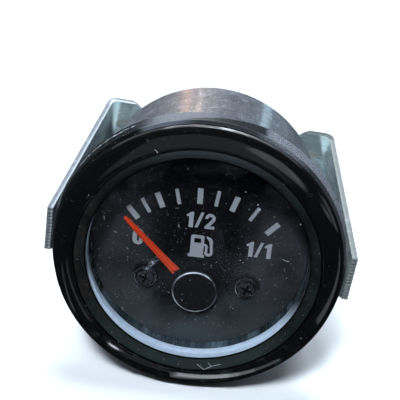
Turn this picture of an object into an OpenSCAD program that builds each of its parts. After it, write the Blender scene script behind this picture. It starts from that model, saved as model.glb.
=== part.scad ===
// Round 52 mm panel fuel gauge with a U bracket, in millimetres.
// The dial faces -Y, +X is to the right seen from the front and +Z is up.
// The origin is on the gauge's axis in the plane of the panel's front face,
// which is the rear face of the case's flange.

/* [Case] */
// Radius of the barrel that fills the panel hole
barrel_r = 26; // [25.9:0.05:26.1]
// Radius of the barrel at its rear edge, less by the mould's draft
barrel_rear_r = 25.75; // [25.7:0.05:25.8]
// Length of the straight stretch of barrel behind the flange
seat_len = 12; // [8:0.5:14]
// Depth of the case behind the panel
case_depth = 32.6; // [32:0.2:35]
// Thickness of the case's walls
wall = 1.5; // [1.4:0.1:1.6]
// Radius of the flange at its rear edge
flange_r = 30.15; // [30.05:0.05:30.2]
// Thickness of the flange
flange_t = 3.1; // [3:0.1:3.2]

/* [Bezel and window] */
// Largest radius of the bezel
bezel_r = 29; // [28.8:0.1:29.2]
// Radius of the bezel's inner lip
lip_r = 24.8; // [24.7:0.05:24.9]
// How far the bezel's lip stands in front of the panel
lip_out = 6.3; // [6.2:0.1:6.5]
// Radius of the window
window_r = 22.45; // [22.4:0.05:22.6]
// How far the window's edge stands in front of the panel
window_out = 4.75; // [4.7:0.05:4.8]
// Thickness of the lens
lens_t = 1.5; // [1.2:0.1:1.6]
// How far the rear of the white diffuser ring stands in front of the panel
diffuser_out = 1.25; // [1.1:0.05:1.4]

/* [Dial] */
// Depth of the dial's front face behind the panel plane
dial_y = 1; // [0.9:0.05:1.1]
// Thickness of the dial
dial_t = 0.8; // [0.6:0.1:0.9]
// Distance of the pointer's pivot below the gauge's axis
pivot_drop = 9.3; // [9:0.1:9.6]
// Outer radius of the scale's marks about the pivot
mark_r = 23.25; // [23:0.05:23.5]
// Length of a mark
mark_len = 3.35; // [3:0.05:3.6]
// Width of a thick mark
mark_thick = 1.12; // [1:0.02:1.2]
// Width of a thin mark
mark_thin = 0.72; // [0.6:0.02:0.8]
// Thickness of the printed ink
ink = 0.1; // [0.08:0.01:0.12]
// Distance of each dial screw from the centre line
dial_screw_x = 10.6; // [10.4:0.1:10.8]
// Distance of the dial screws below the gauge's axis
dial_screw_drop = 7.4; // [7.2:0.1:7.6]

/* [Pointer] */
// Length of the pointer from the pivot
pointer_len = 22; // [21:0.1:22.4]
// Where the red part of the pointer starts
pointer_root = 5.9; // [5.6:0.1:6.2]
// Width of the pointer at its root
pointer_w = 1.9; // [1.7:0.1:2.1]
// Width of the pointer at its tip
pointer_tip_w = 0.95; // [0.8:0.05:1.1]
// Angle of the pointer at rest, left of straight up
pointer_rest = 45.6; // [44:0.1:47]
// Radius of the cap over the pointer's hub
cap_r = 4.8; // [4.6:0.05:4.9]

/* [Bracket] */
// Thickness of the bracket's sheet
sheet = 1.2; // [1.1:0.05:1.3]
// Half the span over the legs at their front ends
span_front = 31.8; // [31.75:0.05:32]
// Half the span over the bends at the base
span_base = 27.05; // [27:0.05:27.2]
// Gap between the case and the bracket's base
base_gap = 3.1; // [3:0.1:3.6]
// How far the legs' ends reach past the panel plane towards the front
leg_ahead = 0.35; // [0:0.05:0.5]
// Half the height of a leg at its front end
leg_half_front = 4.8; // [4.6:0.1:5]
// Half the height of a leg at the bend
leg_half_base = 16.6; // [16:0.1:17]
// Half the height of the base's ears
ear_half = 18; // [17.6:0.1:18.4]
// Half the height of the base's waist
waist_half = 9; // [8.5:0.1:9.3]
// Outer radius of the bends
bend_r = 2.5; // [2:0.1:3]
// How far the bracket sits turned on its studs
bracket_turn = 3.3; // [0:0.1:3.4]
// How far the bracket sits to the right on its studs
bracket_shift = 0.15; // [0:0.05:0.2]

/* [Studs and nuts] */
// Distance of each stud from the centre line
stud_x = 16; // [15.5:0.1:16.5]
// Radius of a stud
stud_r = 2; // [1.95:0.01:2]
// Length of stud behind the case
stud_out = 21.4; // [20.5:0.1:23]
// Radius of a knurled nut
nut_r = 5; // [4.6:0.1:5.2]

/* [Lamp and terminals] */
// Height of the lamp holder above the gauge's axis
lamp_up = 16.5; // [16.3:0.1:16.7]
// Radius of the lamp holder's hole
lamp_hole_r = 5; // [4.9:0.05:5.1]
// Distance of the terminals below the gauge's axis
blade_drop = 17; // [16.6:0.1:17.4]
// Distance between neighbouring terminals
blade_pitch = 9.5; // [9:0.1:10]
// Width of a terminal's blade
blade_w = 6.3; // [6.2:0.05:6.4]

/* [Hidden] */

$fn = 96;
small = 0.01;
// Gap left between pieces that are pushed together by hand
ease = 0.05;
// Gap left where a pressed piece sits in its seat
press = 0.02;

// Radial steps inside the case
bore_front_r = 24.5;
bore_r = barrel_rear_r - wall;
rib_r = 21.2;
spigot_r = 26.8;
spigot_out = 4.9;
stack_y = 3.4;
step_y = stack_y + 0.2;
rear_in = case_depth - wall;

// Pieces between the window and the dial
lens_r = 24.2;
lens_y = -window_out + 0.2;
ring_r = bore_front_r - ease;
dial_r = window_r - 0.15;
plate_r = dial_r;

// Angles of the scale's marks, right of straight up, and which of them are thick
mark_angles = [-40.6, -32.4, -24, -14, -2.2, 7.1, 16.8, 28.7, 41.6];
mark_is_thick = [1, 0, 1, 0, 1, 0, 1, 0, 1];

// Strokes of the numerals
digit_h = 3.4;
stroke = 0.9;
half_at = [-2.62, 5.22];
full_at = [10.12, 0.04];
zero_at = [-12.7, 1.7];

// Pump symbol
pump_left = -1.85;
pump_w = 2.75;
pump_low = -0.9;
pump_top = 3.58;

// Pointer and its hub
blade_y = 0.6;
blade_thick = 0.45;
hub_r = 3.95;
hub_front = 0.3;
hub_y = 0.75;
boss_r = 1.2;
spindle_r = 0.5;
spindle_front = 0.3;
spindle_rear = 12.7;

// Movement, counted along its own spindle
bobbin_r = 5.6;
bobbin_y = 6;
bobbin_len = 7.2;
cavity_r = 4.6;
coil_t = 1;
coil_in = 2;
coil_out = 3.8;
neck_r = 1.95;
bearing_r = 1.2;
can_r = 8.3;
can_t = 0.6;
can_end = 16.2;
magnet_r = 4.2;
screw_r = 1;
boss_len = 3.1;

// Rear hardware
stud_nut_t = 2.4;
base_in = case_depth + base_gap;
base_out = base_in + sheet;
washer_t = 0.8;
spring_t = 1;
nut_len = 5.5;
washer_y = base_out;
spring_y = washer_y + washer_t;
nut_y = spring_y + spring_t;
stud_end = case_depth + stud_out;
bracket_hole_r = 3.1;

// Circuit board
board_y = 24;
board_t = 1.2;
board_r = 21;

// Turns a profile of radius and depth about the gauge's axis
module turned() {
    rotate([-90, 0, 0])
        rotate_extrude()
            children();
}

// A round bar along Y from one depth to another
module bar(r, y0, y1) {
    translate([0, y0, 0])
        rotate([-90, 0, 0])
            cylinder(r = r, h = y1 - y0);
}

// A round tube along Y
module tube(outer, inner, y0, y1) {
    difference() {
        bar(outer, y0, y1);
        bar(inner, y0 - small, y1 + small);
    }
}

// A flat drawing of x and z, thick from y0 to y1
module slab(y0, y1) {
    translate([0, y1, 0])
        rotate([90, 0, 0])
            linear_extrude(y1 - y0)
                children();
}

module at_pivot() {
    translate([0, 0, -pivot_drop])
        children();
}

// Case: a moulded cup with a flange in front
module case_profile() {
    polygon([
        [bore_r, step_y],
        [bore_front_r, step_y],
        [bore_front_r, -spigot_out],
        [spigot_r, -spigot_out],
        [spigot_r, -flange_t],
        [flange_r - 0.65, -flange_t],
        [flange_r, -0.3],
        [flange_r - 0.15, 0],
        [barrel_r, 0],
        [barrel_r, seat_len],
        [barrel_rear_r, case_depth - 0.5],
        [barrel_rear_r - 0.5, case_depth],
        [0, case_depth],
        [0, rear_in],
        [bore_r, rear_in]
    ]);
}

module rear_holes() {
    for (side = [-1, 1])
        translate([side * stud_x, 0, 0])
            bar(stud_r + press, rear_in - 1, case_depth + 1);
    translate([0, 0, lamp_up])
        bar(lamp_hole_r, rear_in - 1, case_depth + 1);
    for (k = [-1, 0, 1])
        translate([k * blade_pitch - blade_w / 2 - 0.1, rear_in - 1, -blade_drop - 0.5])
            cube([blade_w + 0.2, wall + 2, 1]);
}

module case() {
    color("#1d1e21") {
        difference() {
            union() {
                turned()
                    case_profile();
                for (a = [45:90:315])
                    rotate([0, a, 0])
                        translate([rib_r, stack_y, -1.2])
                            cube([bore_r - rib_r + 0.1, rear_in - stack_y + 0.1, 2.4]);
            }
            rear_holes();
        }
    }
}

// Bezel: a pressed ring over the case's spigot
module bezel() {
    crown = 1.9;
    reach = bezel_r - lip_r - 0.2;
    back = -flange_t - 0.4;
    color("#121314")
        turned()
            polygon(concat(
                [[lip_r, -spigot_out - ease], [lip_r, -lip_out + 0.2]],
                [for (a = [0:10:90])
                    [lip_r + 0.2 + reach * sin(a), -lip_out + crown - crown * cos(a)]],
                [[bezel_r, back - 0.3], [bezel_r - 0.3, back], [spigot_r + ease, back],
                    [spigot_r + ease, -spigot_out - ease]]
            ));
}

module bezel_seal() {
    color("#0a0a0a")
        tube(bezel_r - 0.4, spigot_r + ease, -flange_t - 0.4, -flange_t);
}

// Dark bevelled ring between the bezel's lip and the window
module front_trim_ring() {
    color("#161718")
        turned()
            polygon([
                [window_r, -window_out],
                [lip_r - ease, -lip_out + 0.15],
                [lip_r - ease, -spigot_out - ease],
                [bore_front_r - ease, -spigot_out - ease],
                [bore_front_r - ease, lens_y],
                [window_r, lens_y]
            ]);
}

module lens() {
    color("#cfd8dc", 0.3)
        bar(lens_r, lens_y, lens_y + lens_t);
}

module diffuser_ring() {
    color("#dfe6f0")
        tube(ring_r, window_r, lens_y + lens_t, -diffuser_out);
}

module light_guide() {
    color("#8f9aa6")
        tube(ring_r, window_r, -diffuser_out, stack_y);
}

module dial_screw_places() {
    for (side = [-1, 1])
        translate([side * dial_screw_x, 0, -dial_screw_drop])
            children();
}

module dial_plate() {
    color("#101113")
        difference() {
            bar(dial_r, dial_y, dial_y + dial_t);
            at_pivot()
                bar(1.6, dial_y - 1, dial_y + 3);
            dial_screw_places()
                bar(screw_r + 0.15, dial_y - 1, dial_y + 3);
        }
}

module scale_marks() {
    color("#9a9aa8")
        at_pivot()
            for (i = [0:len(mark_angles) - 1]) {
                w = mark_is_thick[i] ? mark_thick : mark_thin;
                rotate([0, mark_angles[i], 0])
                    translate([-w / 2, dial_y - ink, mark_r - mark_len])
                        cube([w, ink, mark_len]);
            }
}

module digit_one() {
    polygon([[0, 0], [stroke, 0], [stroke, digit_h], [0.4, digit_h], [-0.58, 2.66],
        [-0.5, 2.38], [0, 2.38]]);
}

module slash_sign() {
    polygon([[0, 0], [0.62, 0], [1.7, digit_h], [1.08, digit_h]]);
}

module digit_two() {
    bowl = [1.08, digit_h - 1.04];
    difference() {
        translate(bowl)
            circle(r = 1.04);
        translate(bowl)
            circle(r = 0.4);
        polygon([[-0.1, 0.4], [-0.1, 2.2], bowl, [bowl[0] + 1.2, bowl[1] - 0.9], [2.2, 0.4]]);
    }
    polygon([[0.05, 0.4], [1.42, 2.18], bowl + [0.3, -0.1], bowl + [0.85, -0.6], [1.07, 0.56],
        [2.05, 0.56], [2.05, 0], [0.03, 0]]);
}

module digit_zero() {
    difference() {
        union() {
            for (s = [-1, 1])
                translate([0, s * 0.68])
                    circle(r = 1.13);
            translate([-1.13, -0.68])
                square([2.26, 1.36]);
        }
        for (s = [-1, 1])
            translate([0, s * 0.9])
                circle(r = 0.22);
        translate([-0.22, -0.9])
            square([0.44, 1.8]);
    }
}

module dial_numerals() {
    color("#9a9aa8")
        slab(dial_y - ink, dial_y) {
            translate(zero_at)
                digit_zero();
            translate(half_at) {
                digit_one();
                translate([1.25, 0.08])
                    slash_sign();
                translate([3.2, 0])
                    digit_two();
            }
            translate(full_at) {
                digit_one();
                translate([1.22, 0.04])
                    slash_sign();
                translate([3.72, 0])
                    digit_one();
            }
        }
}

// A fuel pump with its window, plinth, hose and nozzle
module pump_symbol() {
    corner = 0.45;
    hose_w = 0.5;
    loop_at = [1.99, -0.16];
    color("#9a9aa8")
        slab(dial_y - ink, dial_y) {
            difference() {
                union() {
                    translate([pump_left, pump_low])
                        square([pump_w, pump_top - corner - pump_low]);
                    translate([pump_left + corner, pump_low])
                        square([pump_w - 2 * corner, pump_top - pump_low]);
                    for (x = [pump_left + corner, pump_left + pump_w - corner])
                        translate([x, pump_top - corner])
                            circle(r = corner);
                    translate([pump_left - 0.35, pump_low - 0.56])
                        square([pump_w + 0.65, 0.6]);
                    translate([0.8, 1.23])
                        square([0.24, hose_w]);
                }
                translate([-1.15, 1.82])
                    square([1.4, 1.08]);
            }
            intersection() {
                translate([1, 1.01])
                    difference() {
                        circle(r = 0.72);
                        circle(r = 0.22);
                    }
                translate([1, 1.01])
                    square(1);
            }
            translate([1.22, -0.17])
                square([hose_w, 1.2]);
            intersection() {
                translate(loop_at)
                    difference() {
                        circle(r = 0.77 + 0.12);
                        circle(r = 0.28);
                    }
                translate(loop_at + [-1, -1])
                    square([2, 1.02]);
            }
            polygon([[2.27, -0.17], [2.88, -0.17], [2.72, 1.3], [2.62, 1.8], [2.76, 2.26],
                [2.35, 3.1], [1.45, 3.5], [1.24, 3.38], [1.95, 2.4], [2.18, 1.3]]);
        }
}

module dial_screws() {
    head_r = 2.3;
    head_t = 1.05;
    color("#17181a")
        dial_screw_places()
            difference() {
                union() {
                    turned()
                        polygon([[0, dial_y], [head_r, dial_y], [head_r, dial_y - 0.45],
                            [head_r - 0.25, dial_y - 0.8], [head_r - 0.8, dial_y - head_t],
                            [0, dial_y - head_t]]);
                    bar(screw_r - press, dial_y - 0.1, dial_y + 4.6);
                }
                for (a = [20, 110])
                    rotate([0, a, 0])
                        translate([-1.25, dial_y - head_t - 0.5, -0.3])
                            cube([2.5, 1.15, 0.6]);
            }
}

// Moulded plate that carries the dial in front and the movement behind
module movement_plate() {
    boss_y = dial_y + dial_t;
    color("#d9d9d2")
        difference() {
            union() {
                bar(plate_r, boss_y, stack_y);
                dial_screw_places()
                    bar(2, stack_y - 0.1, stack_y + boss_len);
                at_pivot()
                    bar(can_r - can_t - ease, stack_y - 0.1, stack_y + 0.4);
            }
            dial_screw_places()
                bar(screw_r, boss_y - 1, stack_y + boss_len + 1);
            at_pivot()
                bar(1.6, boss_y - 1, stack_y + 1);
        }
}

// One half of the spool: y0 is the outer end and s the way its cavity opens
module bobbin_half(y0, s) {
    half = bobbin_len / 2;
    difference() {
        union() {
            if (s > 0) {
                bar(bobbin_r, y0, y0 + half);
                bar(neck_r, stack_y + 0.4, y0 + 0.1);
            } else {
                bar(bobbin_r, y0 - half, y0);
                bar(neck_r, y0 - 0.1, can_end - can_t);
            }
        }
        if (s > 0)
            bar(cavity_r, y0 + 1.2, y0 + half + 1);
        else
            bar(cavity_r, y0 - half - 1, y0 - 1.2);
        if (s > 0)
            bar(bearing_r + press, y0 - 5, y0 + 2);
        else
            bar(bearing_r + press, y0 - 2, y0 + 1.3);
    }
}

module bobbin_front() {
    color("#e8e4d8")
        at_pivot()
            bobbin_half(bobbin_y, 1);
}

module bobbin_rear() {
    color("#e8e4d8")
        at_pivot()
            bobbin_half(bobbin_y + bobbin_len, -1);
}

// A coil is two like frames, one each side of the spindle
module coil_pair(y0, y1) {
    inner = bobbin_r + ease;
    outer = inner + coil_t;
    for (side = [-1, 1])
        translate([side * (coil_in + coil_out) / 2, 0, 0])
            difference() {
                translate([-(coil_out - coil_in) / 2, y0, -outer])
                    cube([coil_out - coil_in, y1 - y0, 2 * outer]);
                translate([-coil_out, y0 + coil_t, -inner])
                    cube([2 * coil_out, y1 - y0 - 2 * coil_t, 2 * inner]);
            }
}

module coil_inner() {
    y0 = bobbin_y - coil_t - ease;
    color("#b5622d")
        at_pivot()
            coil_pair(y0, bobbin_y + bobbin_len + coil_t + ease);
}

module coil_outer() {
    y0 = bobbin_y - 2 * (coil_t + ease);
    color("#b5622d")
        at_pivot()
            rotate([0, 90, 0])
                coil_pair(y0, bobbin_y + bobbin_len + 2 * (coil_t + ease));
}

module front_bearing() {
    color("#c9a24a")
        at_pivot()
            tube(bearing_r, spindle_r + 0.04, bobbin_y - 1.8, bobbin_y + 1.2);
}

module rear_bearing() {
    start = bobbin_y + bobbin_len - 1.2;
    color("#c9a24a")
        at_pivot()
            difference() {
                bar(bearing_r, start, start + 2.4);
                bar(spindle_r + 0.04, start - 1, spindle_rear + 0.1);
            }
}

module shield_can() {
    color("#a8adb3")
        at_pivot()
            difference() {
                bar(can_r, stack_y, can_end);
                bar(can_r - can_t, stack_y - 1, can_end - can_t);
            }
}

module return_magnet() {
    color("#3a3d42")
        translate([1.5, can_end, -pivot_drop - 1])
            cube([4, 1.6, 2]);
}

module circuit_board() {
    color("#7a5a2e")
        difference() {
            bar(board_r, board_y, board_y + board_t);
            translate([0, 0, lamp_up])
                bar(lamp_hole_r + 1.3, board_y - 1, board_y + board_t + 1);
            for (k = [-1, 0, 1])
                translate([k * blade_pitch - 1.6, board_y - 1, -blade_drop - 0.5])
                    cube([3.2, board_t + 2, 1]);
            for (side = [-1, 1])
                translate([side * 6.5, 0, 2])
                    bar(0.35, board_y - 1, board_y + board_t + 1);
        }
}

module ballast_resistor() {
    body_r = 1.7;
    axis_y = board_y - body_r - ease;
    color("#4d7f8c")
        translate([0, 0, 2]) {
            translate([-4, axis_y, 0])
                rotate([0, 90, 0])
                    cylinder(r = body_r, h = 8);
            translate([-6.8, axis_y, 0])
                rotate([0, 90, 0])
                    cylinder(r = 0.3, h = 13.6);
            for (side = [-1, 1])
                translate([side * 6.5, 0, 0])
                    bar(0.3, axis_y, board_y + board_t + 0.6);
        }
}

// A flat blade for a push-on connector, with a narrow tail to the board
module terminal(k) {
    tip = case_depth + 10.8;
    tail = rear_in - 1.2;
    translate([k * blade_pitch, 0, -blade_drop])
        difference() {
            union() {
                translate([0, 0, 0.4])
                    rotate([180, 0, 0])
                        linear_extrude(0.8)
                            polygon([[-blade_w / 2, -tail], [-blade_w / 2, -tip + 1],
                                [-blade_w / 2 + 0.8, -tip], [blade_w / 2 - 0.8, -tip],
                                [blade_w / 2, -tip + 1], [blade_w / 2, -tail]]);
                translate([-1.5, board_y - 0.6, -0.4])
                    cube([3, tail - board_y + 0.7, 0.8]);
            }
            translate([0, tip - 4, -1])
                cylinder(r = 0.9, h = 2);
        }
}

module terminal_sender() {
    color("#c8c4b4")
        terminal(-1);
}

module terminal_supply() {
    color("#c8c4b4")
        terminal(0);
}

module terminal_ground() {
    color("#c8c4b4")
        terminal(1);
}

// A threaded stud with a head inside the case
module stud(side) {
    color("#b9bec4")
        translate([side * stud_x, 0, 0]) {
            bar(4, rear_in - 1.5, rear_in);
            turned()
                polygon([[0, rear_in - 0.1], [stud_r, rear_in - 0.1], [stud_r, stud_end - 0.5],
                    [stud_r - 0.5, stud_end], [0, stud_end]]);
        }
}

module stud_left() {
    stud(-1);
}

module stud_right() {
    stud(1);
}

// Thin hexagon nut that holds a stud to the case
module stud_nut(side) {
    color("#b9bec4")
        translate([side * stud_x, 0, 0])
            difference() {
                translate([0, case_depth, 0])
                    rotate([-90, 0, 0])
                        cylinder(r = 4.04, h = stud_nut_t, $fn = 6);
                bar(stud_r + ease, case_depth - 1, case_depth + stud_nut_t + 1);
            }
}

module stud_nut_left() {
    stud_nut(-1);
}

module stud_nut_right() {
    stud_nut(1);
}

// Red blade with a ridge along its middle
module pointer_blade() {
    root = pointer_w / 2;
    tip = pointer_tip_w / 2;
    rim = 0.22;
    color("#e8492a")
        at_pivot()
            rotate([0, -pointer_rest, 0])
                hull() {
                    for (x = [-root, root])
                        translate([x - 0.02, blade_y - rim, pointer_root])
                            cube([0.04, rim, 0.04]);
                    translate([-0.02, blade_y - blade_thick, pointer_root])
                        cube([0.04, blade_thick, 0.04]);
                    translate([0, blade_y, pointer_len - tip])
                        rotate([90, 0, 0])
                            cylinder(r = tip, h = rim, $fn = 24);
                    translate([-0.02, blade_y - blade_thick + 0.1, pointer_len - 2 * tip])
                        cube([0.04, blade_thick - 0.1, 0.04]);
                }
}

module pointer_hub() {
    color("#141414")
        at_pivot()
            difference() {
                union() {
                    bar(hub_r, hub_front, hub_y);
                    bar(boss_r, hub_front, hub_y + 1.6);
                    rotate([0, -pointer_rest, 0])
                        translate([-pointer_w / 2, hub_front, hub_r - 0.3])
                            cube([pointer_w, blade_y - hub_front, pointer_root - hub_r + 0.3]);
                }
                bar(spindle_r + press, -1, hub_y + 3);
            }
}

module hub_cap() {
    inside = hub_front - 0.05;
    skirt_r = hub_r + ease;
    color("#1a1b1d")
        at_pivot()
            difference() {
                turned()
                    polygon([[0, inside - 0.75], [cap_r - 1.3, inside - 0.71],
                        [cap_r - 0.4, inside - 0.55], [cap_r, inside - 0.2], [cap_r, hub_y],
                        [skirt_r, hub_y], [skirt_r, inside], [0, inside]]);
                rotate([0, -pointer_rest, 0])
                    translate([-pointer_w / 2 - 0.1, inside + 0.01, 0])
                        cube([pointer_w + 0.2, 2, 2 * cap_r]);
            }
}

module pointer_spindle() {
    color("#c0c4c8")
        at_pivot()
            bar(spindle_r, spindle_front, spindle_rear);
}

module rotor_magnet() {
    color("#4a4038")
        at_pivot()
            tube(magnet_r, spindle_r + press, bobbin_y + 2, bobbin_y + 5.2);
}

// Bracket: one half of the bent sheet's outline seen from above
lean = atan((span_front - span_base) / (base_out + leg_ahead));

function bend_centre() = [
    span_base + (bend_r - bend_r * sin(lean)) * tan(lean) - bend_r * cos(lean),
    base_out - bend_r
];

function bend_arc(r, a0, a1, n) =
    [for (i = [0:n]) let (a = a0 + (a1 - a0) * i / n) bend_centre() + r * [cos(a), sin(a)]];

function leg_x(y, inset) = span_base + (base_out - y) * tan(lean) - inset / cos(lean);

function sheet_half(side) = [for (p = concat(
    bend_arc(bend_r - sheet, 90, lean, 6),
    [[leg_x(-leg_ahead, sheet), -leg_ahead], [leg_x(-leg_ahead, 0), -leg_ahead]],
    bend_arc(bend_r, lean, 90, 6)
)) [side * p[0], p[1]]];

// The sheet seen from above: the right half, then the left half backwards
module sheet_outline() {
    right = sheet_half(1);
    left = sheet_half(-1);
    polygon(concat(right, [for (i = [len(left) - 1:-1:0]) left[i]]));
}

// Side outline of the legs, narrow in front and wide at the bends
module leg_side() {
    front = -leg_ahead - 1;
    fall = (leg_half_base - leg_half_front) / (base_out - bend_r + leg_ahead);
    z0 = leg_half_front - fall;
    corner_y = base_out - bend_r;
    polygon([[front, z0], [corner_y, leg_half_base], [base_out - 0.7, ear_half - 0.3],
        [base_out + 1, ear_half], [base_out + 1, -ear_half], [base_out - 0.7, -ear_half + 0.3],
        [corner_y, -leg_half_base], [front, -z0]]);
}

// What is cut out of the base above its waist
module waist_cut() {
    inner = 10;
    outer = 22.5;
    rise = ear_half - waist_half;
    polygon(concat(
        [[-outer, ear_half + 2]],
        [for (i = [-18:18])
            let (x = outer * i / 18, t = max(0, (abs(x) - inner) / (outer - inner)))
            [x, waist_half + rise * (1 - cos(180 * t)) / 2]],
        [[outer, ear_half + 2]]
    ));
}

// Fine teeth that bite the panel
module leg_teeth() {
    pitch = 0.74;
    count = 12;
    for (i = [0:count - 1])
        translate([0, -leg_ahead, (i - (count - 1) / 2) * pitch])
            rotate([0, 90, 0])
                linear_extrude(80, center = true)
                    polygon([[-0.26, -0.1], [0.26, -0.1], [0, 0.3]]);
}

module mounting_bracket() {
    color("#c3cccf")
        rotate([0, bracket_turn, 0])
            translate([bracket_shift, 0, 0])
                difference() {
                    intersection() {
                        linear_extrude(3 * ear_half, center = true)
                            sheet_outline();
                        rotate([90, 0, 90])
                            linear_extrude(80, center = true)
                                leg_side();
                    }
                    for (s = [0, 1])
                        mirror([0, 0, s])
                            slab(base_in - bend_r, base_out + 1)
                                waist_cut();
                    for (side = [-1, 1])
                        translate([side * stud_x, 0, 0])
                            bar(bracket_hole_r, base_in - 1, base_out + 1);
                    leg_teeth();
                }
}

module plain_washer(side) {
    color("#c9cdd1")
        translate([side * stud_x, 0, 0])
            tube(nut_r + 0.5, stud_r + 0.15, washer_y, washer_y + washer_t);
}

module plain_washer_left() {
    plain_washer(-1);
}

module plain_washer_right() {
    plain_washer(1);
}

// Split ring
module spring_washer(side) {
    color("#a9adb2")
        translate([side * stud_x, 0, 0])
            difference() {
                tube(3.6, stud_r + 0.15, spring_y, spring_y + spring_t);
                rotate([0, 35, 0])
                    translate([-0.3, spring_y - 1, 0])
                        cube([0.6, spring_t + 2, 6]);
            }
}

module spring_washer_left() {
    spring_washer(-1);
}

module spring_washer_right() {
    spring_washer(1);
}

// Knurled nut with a plain collar
module knurled_nut(side) {
    grip = 3.6;
    teeth = 24;
    color("#c8b27a")
        translate([side * stud_x, 0, 0])
            difference() {
                union() {
                    bar(nut_r, nut_y, nut_y + grip);
                    bar(3.6, nut_y + grip - 0.1, nut_y + nut_len);
                }
                bar(stud_r + ease, nut_y - 1, nut_y + nut_len + 1);
                for (i = [0:teeth - 1])
                    rotate([0, i * 360 / teeth, 0])
                        translate([nut_r, nut_y - 1, 0])
                            rotate([-90, 0, 0])
                                rotate([0, 0, 45])
                                    translate([-0.3, -0.3, 0])
                                        cube([0.6, 0.6, grip + 1.02]);
            }
}

module knurled_nut_left() {
    knurled_nut(-1);
}

module knurled_nut_right() {
    knurled_nut(1);
}

// Lamp holder: a plug that pushes into the rear wall, with a grip outside
module lamp_holder() {
    plug_r = lamp_hole_r - ease;
    color("#26272a")
        translate([0, 0, lamp_up])
            difference() {
                union() {
                    bar(plug_r, rear_in - 5, case_depth + 0.1);
                    bar(lamp_hole_r + 1, case_depth, case_depth + 2);
                    intersection() {
                        bar(lamp_hole_r, case_depth + 1.9, case_depth + 8);
                        translate([-3.4, case_depth, -lamp_hole_r])
                            cube([6.8, 9, 2 * lamp_hole_r]);
                    }
                }
                bar(2.6, rear_in - 6, rear_in - 1);
                for (s = [-1, 1])
                    translate([-2.1, case_depth - 1, s * 2.6 - 0.3])
                        cube([4.2, 10, 0.6]);
            }
}

module lamp_contacts() {
    color("#c8b070")
        translate([0, 0, lamp_up])
            for (s = [-1, 1])
                translate([-2, case_depth - 0.8, s * 2.6 - 0.25])
                    cube([4, 14.2, 0.5]);
}

// Wedge-base bulb
module lamp_bulb() {
    base_y = rear_in - 1;
    color("#e8f0f4", 0.5)
        translate([0, 0, lamp_up])
            turned()
                polygon(concat(
                    [[0, base_y], [2.3, base_y], [2.3, base_y - 9.6]],
                    [for (a = [0:15:90]) [2.3 * cos(a), base_y - 9.6 - 2.3 * sin(a)]]
                ));
}

case();
bezel();
bezel_seal();
front_trim_ring();
lens();
diffuser_ring();
light_guide();
dial_plate();
scale_marks();
dial_numerals();
pump_symbol();
dial_screws();
movement_plate();
bobbin_front();
bobbin_rear();
coil_inner();
coil_outer();
front_bearing();
rear_bearing();
shield_can();
return_magnet();
circuit_board();
ballast_resistor();
terminal_sender();
terminal_supply();
terminal_ground();
stud_left();
stud_right();
stud_nut_left();
stud_nut_right();
pointer_blade();
pointer_hub();
hub_cap();
pointer_spindle();
rotor_magnet();
mounting_bracket();
plain_washer_left();
plain_washer_right();
spring_washer_left();
spring_washer_right();
knurled_nut_left();
knurled_nut_right();
lamp_holder();
lamp_contacts();
lamp_bulb();
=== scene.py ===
"""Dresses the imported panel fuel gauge: detailed pieces, finishes, stage, light and camera."""
import math

import bmesh
import bpy
from bpy.props import FloatProperty, FloatVectorProperty, IntProperty, PointerProperty
from mathutils import Matrix, Vector


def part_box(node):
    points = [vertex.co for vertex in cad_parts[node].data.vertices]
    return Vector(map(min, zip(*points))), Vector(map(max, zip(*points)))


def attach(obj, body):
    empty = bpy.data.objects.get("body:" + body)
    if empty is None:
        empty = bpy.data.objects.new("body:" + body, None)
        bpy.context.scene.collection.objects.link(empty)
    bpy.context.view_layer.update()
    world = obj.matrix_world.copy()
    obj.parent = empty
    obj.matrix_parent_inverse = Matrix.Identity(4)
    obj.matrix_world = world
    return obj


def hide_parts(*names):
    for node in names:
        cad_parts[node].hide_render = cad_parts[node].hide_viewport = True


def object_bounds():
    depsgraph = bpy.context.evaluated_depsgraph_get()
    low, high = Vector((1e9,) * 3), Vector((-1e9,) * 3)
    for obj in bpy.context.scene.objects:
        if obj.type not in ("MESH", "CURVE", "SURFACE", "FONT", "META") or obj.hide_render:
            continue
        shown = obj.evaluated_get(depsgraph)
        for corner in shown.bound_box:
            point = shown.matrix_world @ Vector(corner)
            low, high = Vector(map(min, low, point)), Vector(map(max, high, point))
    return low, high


bl_info = {
    "name": "Panel fuel gauge",
    "version": (1, 0, 0),
    "blender": (4, 5, 0),
    "location": "3D View > Sidebar > Gauge",
    "description": "Builds the visible pieces of a 52 mm panel fuel gauge and its bracket",
    "category": "Add Mesh",
}

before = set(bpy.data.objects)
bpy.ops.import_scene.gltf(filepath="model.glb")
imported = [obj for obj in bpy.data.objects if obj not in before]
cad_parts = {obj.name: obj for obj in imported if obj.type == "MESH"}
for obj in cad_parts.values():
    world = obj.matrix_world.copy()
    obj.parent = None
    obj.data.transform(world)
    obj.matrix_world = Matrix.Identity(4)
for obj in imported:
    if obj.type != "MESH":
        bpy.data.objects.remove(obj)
CAD_BOX = [list(corner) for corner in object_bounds()]

MM = 0.001
POINTER_REST = math.radians(-45.6)
BRACKET_TURN = math.radians(3.3)

# Sizes and places that pieces and finishes share, in millimetres

BARREL_R, TRIM_R, RING_R, WINDOW_R = 26.0, 24.75, 23.0, 22.45
LENS_SEAT_Y = -4.95
PIVOT_AT = (0.0, -9.3)
SCREW_X, SCREW_Z = 10.6, -7.4
STUD_X = 16.0
FOOT_Y, FOOT_HALF_SPAN = -0.35, 31.8
BASE_Y, BASE_HALF_SPAN = 36.9, 27.05
BRACKET_SHIFT = 0.15

# Shares and colours that finishes use twice

ZINC_METAL = 0.35
SHADOW = (0.006, 0.0075, 0.0075)
DUST = (0.55, 0.57, 0.6)

# Marks of use, and straw and blue film of the plating that also paints reflections and highlights: dots of
# x, z and radius, strokes of x, z, x, z and reach

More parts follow.
